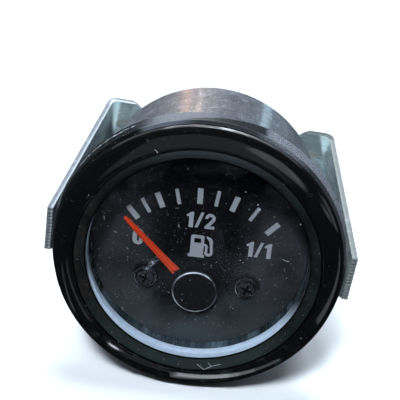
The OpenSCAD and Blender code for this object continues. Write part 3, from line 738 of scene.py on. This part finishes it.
def zinc_finish(name, look, grain_turn, cut=False):
    """Zinc plate: a passivated film of blue, green and straw over a drawn grain, with painted reflections
    and highlights on it.
    """
    f = Finish(name, look.zinc_colour, 0.3, ZINC_METAL)
    grain = f.noise(0.5, 3.0, f.mapped(f.place, (0.12, 0.12, 3.0), grain_turn))
    tone = zinc_edge_tone(f) if cut else zinc_face_tone(f, look)
    scratch = f.most(f.lines(4.0, 0.5, 0.016, 0.5, (0.5, 0.3, 0.2)),
                     f.lines(2.5, 0.4, 0.016, 0.5, (1.0, 1.3, 0.4)))
    spots = f.dust(None, (0.9, 0.1, 0.25), (0.5, 0.06, 0.3))
    f.paint(tone,
            (f.band(grain, 0.35, 0.75, 0.0, 0.2), (0.3, 0.33, 0.34)),
            (f.times(scratch, 0.4), (0.8, 0.85, 0.86)),
            (f.times(spots, 0.5), (0.16, 0.17, 0.16)))
    least = 0.42 if cut else 0.24
    uneven = f.plus(f.times(f.noise(5.0), 0.6), f.times(grain, 0.4))
    f.set("Roughness", f.band(uneven, 0.35, 0.65, least, least + 0.16))
    f.bump(f.most(grain, scratch), 0.012, 0.35)
    return f.material


def zinc_depth(f):
    """How far a point lies inside the outer face of the bent sheet."""
    level = f.mapped(f.place, (1, 1, 1), (0.0, -BRACKET_TURN, 0.0), (-BRACKET_SHIFT, 0.0, 0.0))
    slope = (FOOT_HALF_SPAN - BASE_HALF_SPAN) / (BASE_Y - FOOT_Y)
    half_span = f.plus(f.times(f.minus(f.y, FOOT_Y), -slope), FOOT_HALF_SPAN)
    side = f.minus(half_span, f.size(f.part("X", level)))
    return f.calc("MINIMUM", side, f.minus(BASE_Y, f.y))


def zinc_face_tone(f, look):
    """Clouds of the film on the rolled faces, with a painted pale blue highlight inside the upper bends."""
    high = f.size(f.z)
    drift = f.mapped(f.place, (1.0, 0.4, 1.0))
    torn = f.cloud(1.3, 3.0, 0.3, 0.7, -0.15, 0.15)
    rise = f.band(high, 11.0, 18.0, 0.25, 1.0)
    lines = (f.band(f.calc("DIVIDE", f.size(f.plus(f.x, -x, torn)), rise), wide, narrow)
             for x, wide, narrow in ZINC_BEND_HIGHLIGHTS)
    # A painted pale blue highlight inside the upper bends.
    bend_highlight = f.times(f.most(*lines), f.band(f.y, 33.5, 35.0), f.band(high, 10.5, 13.0, 0.1, 1.0),
                   f.band(zinc_depth(f), 0.3, 0.7))
    f.set("Metallic", f.minus(ZINC_METAL, f.times(bend_highlight, ZINC_METAL)))
    plain = f.times(f.band(f.x, 19.5, 21.0), f.band(f.y, 35.2, 35.6), f.band(high, 11.5, 13.0), 0.7)
    return f.layers(
        (0.3, 0.385, 0.4),
        (f.cloud(4.5, 2.0, 0.36, 0.64, vector=drift), look.zinc_colour),
        (f.cloud(2.6, 2.0, 0.5, 0.7, 0.0, 0.6, drift), (0.68, 0.79, 0.76)),
        (plain, (0.33, 0.4, 0.42)),
        # Straw and blue film, laid where it also paints the bracket's reflections and highlights.
        (f.times(f.marks(ZINC_STRAW_FILM_AND_REFLECTIONS), 0.75), (0.42, 0.43, 0.33)),
        (f.times(f.marks(ZINC_BLUE_FILM_AND_HIGHLIGHTS), 0.8), (0.55, 0.72, 0.8)),
        (f.times(bend_highlight, 0.9), (0.8, 1.0, 1.0)))


def zinc_edge_tone(f):
    """The sheet's thickness: pale and bright on the inner half, grey and grainy on the outer."""
    right = f.band(f.x, -1.0, 1.0)
    inner = f.blend(right, (0.4, 0.43, 0.44), (0.27, 0.28, 0.25))
    outer = f.layers(
        (0.16, 0.165, 0.19),
        (right, (0.2, 0.21, 0.2)),
        (f.cloud(0.4, 3.0, 0.4, 0.65, 0.0, 0.5), (0.27, 0.28, 0.29)))
    ear = f.times(f.band(f.x, 20.0, 21.0), f.band(f.y, 34.6, 35.4), 0.9)
    return f.layers(inner, (f.band(zinc_depth(f), 0.86, 0.7), outer), (ear, (0.045, 0.06, 0.06)))


def metal_finish(name, colour, roughness, rubbed, centre=None):
    """Machined metal with turning marks round a centre, or a grain, dull patches and specks."""
    f = Finish(name, colour, roughness, 1.0)
    if centre is None:
        marks = f.noise(0.3, 3.0, f.mapped(f.place, (1.0, 0.15, 1.0)))
    else:
        marks = f.noise(0.12, 2.0, f.mapped(f.polar(centre, 4.0), (0.08, 1.0, 1.0)))
    dull = f.cloud(1.6, 4.0, 0.42, 0.7)
    f.paint(colour,
            (f.times(dull, 0.55), rubbed),
            (f.band(marks, 0.4, 0.7, 0.0, 0.2), shade(colour, 0.6)),
            (f.specks(0.7, 0.07, 0.2), shade(rubbed, 0.45)))
    f.set("Roughness", f.band(dull, 0.0, 1.0, roughness, roughness + 0.2))
    f.bump(marks, 0.01, 0.35)
    return f.material


def plastic_finish(name, colour, roughness):
    """Plain moulded or potted surface with grain, cloudiness and dust."""
    f = Finish(name, colour, roughness)
    f.paint(colour,
            (f.cloud(2.5, 3.0, 0.35, 0.7), shade(colour, 1.25)),
            (f.times(f.specks(0.8, 0.07, 0.3), 0.5), DUST))
    f.roughen(0.6, roughness - 0.06, roughness + 0.1)
    f.bump(f.noise(0.2, 2.0), 0.015, 0.4)
    return f.material


def waves(f, pace):
    """Ripples that run across the front and up it."""
    return (f.calc("SINE", f.times(axis, pace)) for axis in (f.x, f.z))


def board_finish():
    """Brown laminate whose cloth shows through as a fine weave."""
    f = Finish("board laminate", (0.2, 0.12, 0.045), 0.45)
    weave = f.band(f.times(*waves(f, 14.0)), -0.6, 0.6)
    f.paint((0.17, 0.1, 0.04), (weave, (0.24, 0.15, 0.06)))
    f.bump(weave, 0.01, 0.4)
    return f.material


def winding_finish():
    """Enamelled wire lying side by side."""
    f = Finish("copper winding", (0.45, 0.16, 0.06), 0.32, 0.9)
    turns = f.band(f.plus(*waves(f, 32.0)), -1.2, 1.2)
    f.paint((0.22, 0.07, 0.03), (turns, (0.55, 0.22, 0.09)))
    f.bump(turns, 0.03, 0.6)
    return f.material


def bulb_finish():
    f = Finish("bulb glass", (0.9, 0.94, 0.96), 0.05)
    f.set("Alpha", f.plus(f.mirror(1.45), f.cloud(1.5, 3.0, 0.4, 0.8, 0.06, 0.16)))
    return f.material


def floor_finish():
    f = Finish("pale floor", (0.86, 0.86, 0.86), 0.7, specular=0.1)
    f.paint((0.84, 0.84, 0.84), (f.noise(60.0, 2.0), (0.88, 0.88, 0.88)))
    return f.material


def coat(material, *nodes):
    """Gives CAD nodes that stay as they are a finish of their own."""
    for node in nodes:
        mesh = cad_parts[node].data
        mesh.materials.clear()
        mesh.materials.append(material)


def dress(piece, *materials):
    for material in materials:
        piece.data.materials.append(material)
    return piece


def soft_copy(node, width, name, body, finish):
    """A CAD node's own shape with its edges rounded, as a piece in a finish."""
    weigh_normals(dress(keep(node_copy(node, width), name, body, node), finish))


# Settings

def tint(name, description, default):
    return FloatVectorProperty(
        name=name, description=description, subtype="COLOR", default=default, min=0.0, max=1.0)


def measure(name, description, default, least, most):
    return FloatProperty(
        name=name, description=description + " in millimetres", default=default, min=least, max=most)


class GaugeLook(bpy.types.PropertyGroup):
    """Colours of the gauge's finishes."""

    case_colour: tint("Case", "Moulded plastic of the case", (0.036, 0.038, 0.043))
    bezel_colour: tint("Bezel", "Gloss black of the bezel", (0.003, 0.003, 0.0032))
    trim_colour: tint("Trim", "Satin ring between bezel and window", (0.005, 0.0065, 0.006))
    dial_colour: tint("Dial", "Matte black of the dial", (0.004, 0.004, 0.0045))
    dial_cloud: tint("Dial clouds", "Paler places on the dial", (0.032, 0.0325, 0.0365))
    # Painted light of the light guide on the dial's lower edge.
    dial_foot_glow: tint("Dial foot", "Blue grey of the dial's lower edge", (0.054, 0.063, 0.070))
    ink_colour: tint("Print", "Ink of the marks and figures", (0.31, 0.315, 0.345))
    pointer_colour: tint("Pointer", "Red of the pointer's blade", (0.92, 0.075, 0.02))
    hub_colour: tint("Hub", "Black of the hub and its cap", (0.007, 0.007, 0.0078))
    diffuser_colour: tint("Diffuser", "White ring behind the window", (0.66, 0.78, 0.94))
    zinc_colour: tint("Zinc", "Paler film on the bracket's plating", (0.5, 0.6, 0.6))
    haze_colour: tint("Haze", "Film of dust on the lens", (0.30, 0.34, 0.40))
    haze: FloatProperty(
        name="Haze share", description="How much of the light the film on the lens takes",
        subtype="FACTOR", default=0.03, min=0.0, max=0.5)


class GaugeSizes(bpy.types.PropertyGroup):
    """Sizes of the details that the solids leave out, in millimetres."""

    bezel_steps: IntProperty(
        name="Bezel steps", description="Faces round the bezel", default=224, min=64, max=512)
    edge: measure("Edge", "Rounding of moulded edges", 0.16, 0.02, 0.4)
    sheet_edge: measure("Sheet edge", "Rounding of the bracket's cut edges", 0.12, 0.02, 0.3)
    thread_pitch: measure("Thread pitch", "Pitch of the studs' thread", 0.7, 0.4, 1.0)
    thread_depth: measure("Thread depth", "Depth of the studs' thread", 0.36, 0.1, 0.5)
    ridge: measure("Pointer ridge", "Height of the ridge along the pointer", 0.42, 0.2, 0.45)
    notch: measure("Pointer notch", "Depth of the notch in the pointer's root", 0.55, 0.1, 0.8)


# Pieces

class PieceOperator:
    """What every operator here has in common: it builds with the scene's settings."""

    bl_options = {"REGISTER", "UNDO"}

    def execute(self, context):
        self.build(context.scene.gauge_look, context.scene.gauge_sizes)
        return {"FINISHED"}


class GAUGE_OT_case(PieceOperator, bpy.types.Operator):
    """Moulded case with softened edges, scratched and dusty"""

    bl_idname = "gauge.case"
    bl_label = "Case"

    def build(self, look, sizes):
        bm = node_copy("case", sizes.edge)
        for face in bm.faces:
            face.material_index = int(face.calc_center_median().y < -0.02 * MM)
        case = keep(bm, "case_shell", "gauge", "case")
        weigh_normals(dress(case, case_finish(look), flange_finish(look)))
        seal = keep(node_copy("bezel_seal", 0.08), "flange_seal", "gauge", "bezel_seal")
        dress(seal, seal_finish())


class GAUGE_OT_bezel(PieceOperator, bpy.types.Operator):
    """Gloss black bezel, crowned in front and rolled over at its edge"""

    bl_idname = "gauge.bezel"
    bl_label = "Bezel"

    def build(self, look, sizes):
        front, back, reach = extent("bezel")
        crest, drop, lip_r, roll_r, bore = 25.0, 1.9, 0.2, 0.45, 26.85
        crown = arc(crest, front + drop, reach - crest, drop, 270, 360, 22)
        lip = arc(crest, front + lip_r, lip_r, lip_r, 180, 265, 4)
        roll = arc(reach - roll_r, back - roll_r, roll_r, roll_r, 0, 90, 6)
        inner = [(bore, back), (bore, LENS_SEAT_Y), (crest - lip_r, LENS_SEAT_Y)]
        ring = turned(lip + crown + roll + inner, steps=sizes.bezel_steps)
        dress(keep(ring, "bezel_ring", "gauge", "bezel"), bezel_finish(look))


class GAUGE_OT_window(PieceOperator, bpy.types.Operator):
    """Bevelled trim ring, clear lens, white diffuser ring and streaked light guide"""

    bl_idname = "gauge.window"
    bl_label = "Window"

    def build(self, look, sizes):
        steps = sizes.bezel_steps
        front, back, step = -6.1, -4.56, TRIM_R - 0.3
        trim = turned([
            (WINDOW_R, -4.75), (WINDOW_R + 0.05, -4.83), (TRIM_R - 0.05, front), (TRIM_R, front),
            (TRIM_R, LENS_SEAT_Y), (step, LENS_SEAT_Y), (step, back), (WINDOW_R, back)], steps=steps)
        dress(keep(trim, "trim_ring", "gauge", "front_trim_ring"), trim_finish(look))
        self.lens(look, steps)
        for name, node, slot, finish in (
            ("diffuser_band", "diffuser_ring", "white_plastic", diffuser_finish(look)),
            ("guide_wall", "light_guide", "guide_plastic", guide_finish()),
        ):
            front, back, reach = extent(node)
            wall = turned([(WINDOW_R, front), (reach, front), (reach, back), (WINDOW_R, back)], steps=steps)
            soften(wall, 0.05)
            dress(keep(wall, name, "gauge", node), finish)

    def lens(self, look, steps):
        front, back, reach = extent("lens")
        edge = 0.3
        outline = [(0.0, front), (reach - edge, front), (reach, front + edge), (reach, back), (0.0, back)]
        disc = turned(outline, steps=steps)
        for face in disc.faces:
            face.material_index = 0 if face.normal.y < -0.9 else 1
        pane = keep(disc, "lens_pane", "gauge", "lens")
        dress(pane, lens_front_finish(look), lens_back_finish())


class GAUGE_OT_dial(PieceOperator, bpy.types.Operator):
    """Dusty black dial with its printed marks, figures and pump symbol, and its screws"""

    bl_idname = "gauge.dial"
    bl_label = "Dial"

    def build(self, look, sizes):
        coat(dial_finish(look), "dial_plate")
        coat(ink_finish(look), "scale_marks", "dial_numerals", "pump_symbol")
        soft_copy("dial_screws", 0.07, "cross_screws", "gauge", screw_finish())


class GAUGE_OT_pointer(PieceOperator, bpy.types.Operator):
    """Red ridged blade, its dark arm, and the round cap over the hub"""

    bl_idname = "gauge.pointer"
    bl_label = "Pointer"

    def build(self, look, sizes):
        dress(keep(self.blade(sizes), "pointer_vane", "pointer", "pointer_blade"),
              pointer_finish(look))
        hub = hub_finish(look)
        soft_copy("pointer_hub", 0.06, "hub_arm", "pointer", hub)
        dress(keep(self.cap(), "hub_button", "pointer", "hub_cap"), hub)
        steel = metal_finish("spindle steel", (0.6, 0.61, 0.63), 0.25, (0.4, 0.4, 0.4), PIVOT_AT)
        coat(steel, "pointer_spindle")
        coat(plastic_finish("magnet ferrite", (0.045, 0.04, 0.036), 0.5), "rotor_magnet", "return_magnet")

    def blade(self, sizes):
        """A cross-section of nine points, drawn out and narrowed towards the tip."""
        root, tip, rear = 5.9, 22.0, 0.6
        half, half_tip = 0.95, 0.47
        bm = bmesh.new()
        section = [(-1.0, 0.0), (-1.0, 0.2), (-0.62, 0.24), (-0.45, 0.15), (0.0, sizes.ridge),
                   (0.45, 0.15), (0.62, 0.24), (1.0, 0.2), (1.0, 0.0)]
        verts = [bm.verts.new((x * half * MM, (rear - y) * MM, root * MM)) for x, y in section]
        face = bm.faces.new(verts)
        stations = [(7.5, half - 0.09), (12.0, half - 0.22), (17.0, half - 0.36), (tip - 1.0, half_tip),
                    (tip - 0.45, half_tip * 0.86), (tip - 0.13, half_tip * 0.52), (tip, half_tip * 0.15)]
        width, place = half, root
        for z, new_width in stations:
            grown = bmesh.ops.extrude_face_region(bm, geom=[face])["geom"]
            face = next(g for g in grown if isinstance(g, bmesh.types.BMFace))
            bmesh.ops.translate(bm, verts=face.verts, vec=(0, 0, (z - place) * MM))
            bmesh.ops.scale(bm, verts=face.verts, vec=(new_width / width, 1, 1))
            width, place = new_width, z
        for v in bm.verts:
            if v.co.z < (root + 0.01) * MM:
                v.co.z += sizes.notch * MM * (1 - abs(v.co.x) / (half * MM))
        bmesh.ops.recalc_face_normals(bm, faces=bm.faces)
        pivot = Vector((PIVOT_AT[0], 0.0, PIVOT_AT[1])) * MM
        turn = Matrix.Translation(pivot) @ Matrix.Rotation(POINTER_REST, 4, "Y")
        bmesh.ops.transform(bm, matrix=turn, verts=bm.verts)
        return bm

    def cap(self):
        """A crowned disc with a rounded edge and a skirt behind it."""
        front, back, reach = extent("hub_cap")
        round_r, inside, depth = 0.6, reach - 0.55, front + 0.75
        top = [(0.0, front), (reach - 1.7, front + 0.03), (reach - 0.8, front + 0.11)]
        edge = arc(reach - round_r, front + 0.12 + round_r, round_r, round_r, 280, 360, 8)
        skirt = [(reach, back), (inside, back), (inside, depth), (0.0, depth)]
        return turned(top + edge + skirt, PIVOT_AT, 128)


class GAUGE_OT_movement(PieceOperator, bpy.types.Operator):
    """Finishes of the movement, its coils and bearings, and the board behind it"""

    bl_idname = "gauge.movement"
    bl_label = "Movement"

    def build(self, look, sizes):
        nylon = plastic_finish("white nylon", (0.62, 0.60, 0.54), 0.45)
        coat(nylon, "movement_plate", "bobbin_front", "bobbin_rear")
        coat(winding_finish(), "coil_inner", "coil_outer")
        brass = metal_finish("bearing brass", (0.70, 0.50, 0.20), 0.25, (0.42, 0.30, 0.14), PIVOT_AT)
        coat(brass, "front_bearing", "rear_bearing")
        coat(metal_finish("drawn steel", (0.50, 0.52, 0.54), 0.28, (0.36, 0.37, 0.38)), "shield_can")
        coat(board_finish(), "circuit_board")
        coat(plastic_finish("resistor body", (0.10, 0.27, 0.32), 0.3), "ballast_resistor")


class GAUGE_OT_bracket(PieceOperator, bpy.types.Operator):
    """Zinc-plated bracket with rounded cut edges and toothed feet"""

    bl_idname = "gauge.bracket"
    bl_label = "Bracket"

    def build(self, look, sizes):
        bm = node_copy("mounting_bracket", sizes.sheet_edge)
        level = Matrix.Rotation(-BRACKET_TURN, 3, "Y")
        for face in bm.faces:
            face.material_index = int(self.is_cut(face, level))
        sheet = keep(bm, "zinc_bracket", "bracket", "mounting_bracket")
        plate = zinc_finish("zinc plate", look, (0.0, 0.0, 0.0))
        cut = zinc_finish("zinc cut edge", look, (0.0, 1.2, 0.0), cut=True)
        weigh_normals(dress(sheet, plate, cut))

    def is_cut(self, face, level):
        """True on the sheet's thickness: upper and lower edges, feet and stud holes."""
        normal = level @ face.normal
        centre = face.calc_center_median() / MM
        steep = 0.3
        in_base = centre.y > BASE_Y - 1.3 and abs(centre.x) < STUD_X + 6.0
        in_hole = in_base and abs(normal.y) < steep
        return abs(normal.z) > steep or centre.y < 0.2 or in_hole


class GAUGE_OT_fasteners(PieceOperator, bpy.types.Operator):
    """Threaded studs, thin nuts, washers and knurled nuts"""

    bl_idname = "gauge.fasteners"
    bl_label = "Studs and nuts"

    def build(self, look, sizes):
        for side, x in (("left", -STUD_X), ("right", STUD_X)):
            centre = (x, 0.0)
            steel = metal_finish(
                f"zinc {side} fasteners", (0.56, 0.58, 0.60), 0.25, (0.40, 0.42, 0.43), centre)
            brass = metal_finish(f"{side} nut brass", (0.66, 0.52, 0.27), 0.3, (0.38, 0.30, 0.17), centre)
            stud = self.stud(side, centre, sizes)
            dress(keep(stud, f"threaded_stud_{side}", "gauge", f"stud_{side}"), steel)
            for name, node, body, width, slot, finish in (
                ("hex_nut", "stud_nut", "gauge", 0.15, "stud_zinc", steel),
                ("flat_washer", "plain_washer", "bracket", 0.12, "stud_zinc", steel),
                ("split_washer", "spring_washer", "bracket", 0.1, "stud_zinc", steel),
                ("thumb_nut", "knurled_nut", f"nut_{side}", 0.1, "nut_brass", brass),
            ):
                soft_copy(f"{node}_{side}", width, f"{name}_{side}", body, finish)

    def stud(self, side, centre, sizes):
        """A round-headed bar with rings close enough together to carry the thread."""
        start, end, _ = extent(f"stud_{side}")
        head, shank, head_end, edge, point = 4.0, 2.0, start + 1.5, 0.3, 0.5
        step = sizes.thread_pitch / 8
        rings = []
        y = start + 2.2
        while y < end - 0.55:
            rings.append((shank, y))
            y += step
        outline = [(0.0, start), (head - edge, start), (head, start + edge), (head, head_end),
                   (shank, head_end), *rings, (shank, end - point), (shank - point, end), (0.0, end)]
        bm = turned(outline, centre, 32)
        thread(bm, centre, 35.2, end - edge, sizes.thread_pitch, sizes.thread_depth)
        return bm


class GAUGE_OT_connections(PieceOperator, bpy.types.Operator):
    """Blade terminals, lamp holder, its contacts and the bulb"""

    bl_idname = "gauge.connections"
    bl_label = "Terminals and lamp"

    def build(self, look, sizes):
        tin = metal_finish("tinned brass", (0.64, 0.60, 0.50), 0.26, (0.46, 0.40, 0.28))
        for use in ("sender", "supply", "ground"):
            soft_copy(f"terminal_{use}", 0.1, f"blade_{use}", "gauge", tin)
        soft_copy("lamp_contacts", 0.08, "lamp_blades", "lamp", tin)
        black = plastic_finish("lamp holder black", (0.02, 0.02, 0.022), 0.42)
        soft_copy("lamp_holder", 0.2, "lamp_socket", "lamp", black)
        coat(bulb_finish(), "lamp_bulb")


# Stage

class GAUGE_OT_stage(PieceOperator, bpy.types.Operator):
    """Pale floor, soft lights and the camera"""

    bl_idname = "gauge.stage"
    bl_label = "Stage"

    def build(self, look, sizes):
        self.floor()
        self.world()
        cool, middle = (0.80, 0.90, 1.0), (0.0, 0.0, 0.0)
        self.light("overhead light", (0.0, 0.42, 0.7), (0.0, 0.42, 0.0), 0.9, 0.84, 3.0, cool, 26)
        front = self.light("front light", (-0.08, -0.3, 0.42), middle, 0.16, 0.12, 0.09, cool, 18)
        front.visible_glossy = False
        self.light("warm light", (-0.08, 0.6, 0.28), middle, 0.03, 0.2, 0.14, (1.0, 0.72, 0.56))
        self.light("blue light", (0.26, 0.6, 0.2), middle, 0.03, 0.2, 0.14, (0.5, 0.78, 1.0))
        for glint in GLINTS:
            self.glint(*glint)
        self.camera()
        bpy.context.scene.view_settings.view_transform = "Standard"

    def floor(self):
        bm = bmesh.new()
        bmesh.ops.create_grid(bm, x_segments=1, y_segments=1, size=3.0)
        bmesh.ops.translate(bm, verts=bm.verts, vec=(0, 0, (FLOOR_Z - 0.1) * MM))
        mesh = bpy.data.meshes.new("floor")
        bm.to_mesh(mesh)
        bm.free()
        floor = dress(put("floor", mesh), floor_finish())
        floor.visible_glossy = False

    def world(self):
        """A room that is bright above and behind the gauge, and dark below."""
        world = bpy.data.worlds.new("soft room")
        bpy.context.scene.world = world
        world.use_nodes = True
        tree = world.node_tree
        place = tree.nodes.new("ShaderNodeTexCoord")
        aim = tree.nodes.new("ShaderNodeVectorMath")
        aim.operation = "DOT_PRODUCT"
        aim.inputs[1].default_value = (0.0, 0.5, 0.866)
        tree.links.new(place.outputs["Generated"], aim.inputs[0])
        ramp = tree.nodes.new("ShaderNodeValToRGB")
        tree.links.new(aim.outputs["Value"], ramp.inputs[0])
        stops = ramp.color_ramp.elements
        stops.new(0.7)
        stops[0].position, stops[1].position, stops[2].position = 0.2, 0.72, 0.98
        for stop, colour in zip(stops, ((0.025, 0.028, 0.032), (0.16, 0.18, 0.21), (0.6, 0.67, 0.77))):
            stop.color = (*colour, 1.0)
        tree.links.new(ramp.outputs[0], tree.nodes["Background"].inputs["Color"])

    def lamp(self, name, shape, width, height, power, colour):
        """An area lamp that the camera doesn't see."""
        data = bpy.data.lights.new(name, "AREA")
        data.shape = shape
        data.size, data.size_y = width, height
        data.energy = power
        data.color = colour
        lamp = put(name, data)
        lamp.visible_camera = False
        return lamp

    def light(self, name, place, aim, width, height, power, colour, spread=180):
        """A lamp for the whole gauge, in metres."""
        lamp = self.lamp(name, "RECTANGLE", width, height, power, colour)
        lamp.data.spread = math.radians(spread)
        lamp.location = place
        toward = Vector(aim) - Vector(place)
        lamp.rotation_euler = toward.to_track_quat("-Z", "Y").to_euler()
        return lamp

    def glint(self, name, pieces, place, toward, along, width, height, radiance,
              shape="RECTANGLE", colour=COOL):
        """A pane that shows only in the gloss of the pieces it is meant for, in millimetres."""
        area = width * height * MM * MM * (math.pi / 4 if shape == "ELLIPSE" else 1.0)
        lamp = self.lamp(name, shape, width * MM, height * MM, radiance * math.pi * area, colour)
        back = -Vector(toward).normalized()
        side = Vector(along)
        side = (side - back * side.dot(back)).normalized()
        turn = Matrix((side, back.cross(side), back)).transposed().to_4x4()
        lamp.matrix_world = Matrix.Translation(Vector(place) * MM) @ turn
        lamp.visible_diffuse = False
        shown = bpy.data.collections.new(name)
        for piece in pieces:
            shown.objects.link(bpy.data.objects[piece])
        lamp.light_linking.receiver_collection = shown

    def camera(self):
        """The photo's view: where the camera is, in millimetres, and how it is turned."""
        place = Vector((3.528, -140.915, 75.277)) * MM
        yaw, pitch, roll = (math.radians(a) for a in (-1.759, -24.226, 5.869))
        ahead = Vector((math.sin(yaw) * math.cos(pitch), math.cos(yaw) * math.cos(pitch), math.sin(pitch)))
        right = Vector((math.cos(yaw), -math.sin(yaw), 0.0))
        up = right.cross(ahead)
        across = right * math.cos(roll) + up * math.sin(roll)
        upward = up * math.cos(roll) - right * math.sin(roll)
        data = bpy.data.cameras.new("camera")
        data.sensor_width = 36.0
        data.lens = 70.2
        data.clip_start = 0.001
        camera = put("camera", data)
        turn = Matrix((across, upward, -ahead)).transposed().to_4x4()
        camera.matrix_world = Matrix.Translation(place) @ turn
        bpy.context.scene.camera = camera


OPERATORS = (
    GAUGE_OT_case, GAUGE_OT_bezel, GAUGE_OT_window, GAUGE_OT_dial, GAUGE_OT_pointer,
    GAUGE_OT_movement, GAUGE_OT_bracket, GAUGE_OT_fasteners, GAUGE_OT_connections, GAUGE_OT_stage,
)


class GAUGE_PT_panel(bpy.types.Panel):
    """Lists the gauge's pieces in the sidebar"""

    bl_label = "Panel fuel gauge"
    bl_idname = "GAUGE_PT_panel"
    bl_space_type = "VIEW_3D"
    bl_region_type = "UI"
    bl_category = "Gauge"

    def draw(self, context):
        for operator in OPERATORS:
            self.layout.operator(operator.bl_idname)
        for group in (context.scene.gauge_look, context.scene.gauge_sizes):
            for name in group.__annotations__:
                self.layout.prop(group, name)


CLASSES = (GaugeLook, GaugeSizes, *OPERATORS, GAUGE_PT_panel)


def register():
    for cls in CLASSES:
        bpy.utils.register_class(cls)
    bpy.types.Scene.gauge_look = PointerProperty(type=GaugeLook)
    bpy.types.Scene.gauge_sizes = PointerProperty(type=GaugeSizes)


def unregister():
    del bpy.types.Scene.gauge_sizes
    del bpy.types.Scene.gauge_look
    for cls in reversed(CLASSES):
        bpy.utils.unregister_class(cls)


def main():
    register()
    bpy.ops.gauge.case()
    bpy.ops.gauge.bezel()
    bpy.ops.gauge.window()
    bpy.ops.gauge.dial()
    bpy.ops.gauge.pointer()
    bpy.ops.gauge.movement()
    bpy.ops.gauge.bracket()
    bpy.ops.gauge.fasteners()
    bpy.ops.gauge.connections()
    bpy.ops.gauge.stage()


if __name__ == "__main__":
    main()
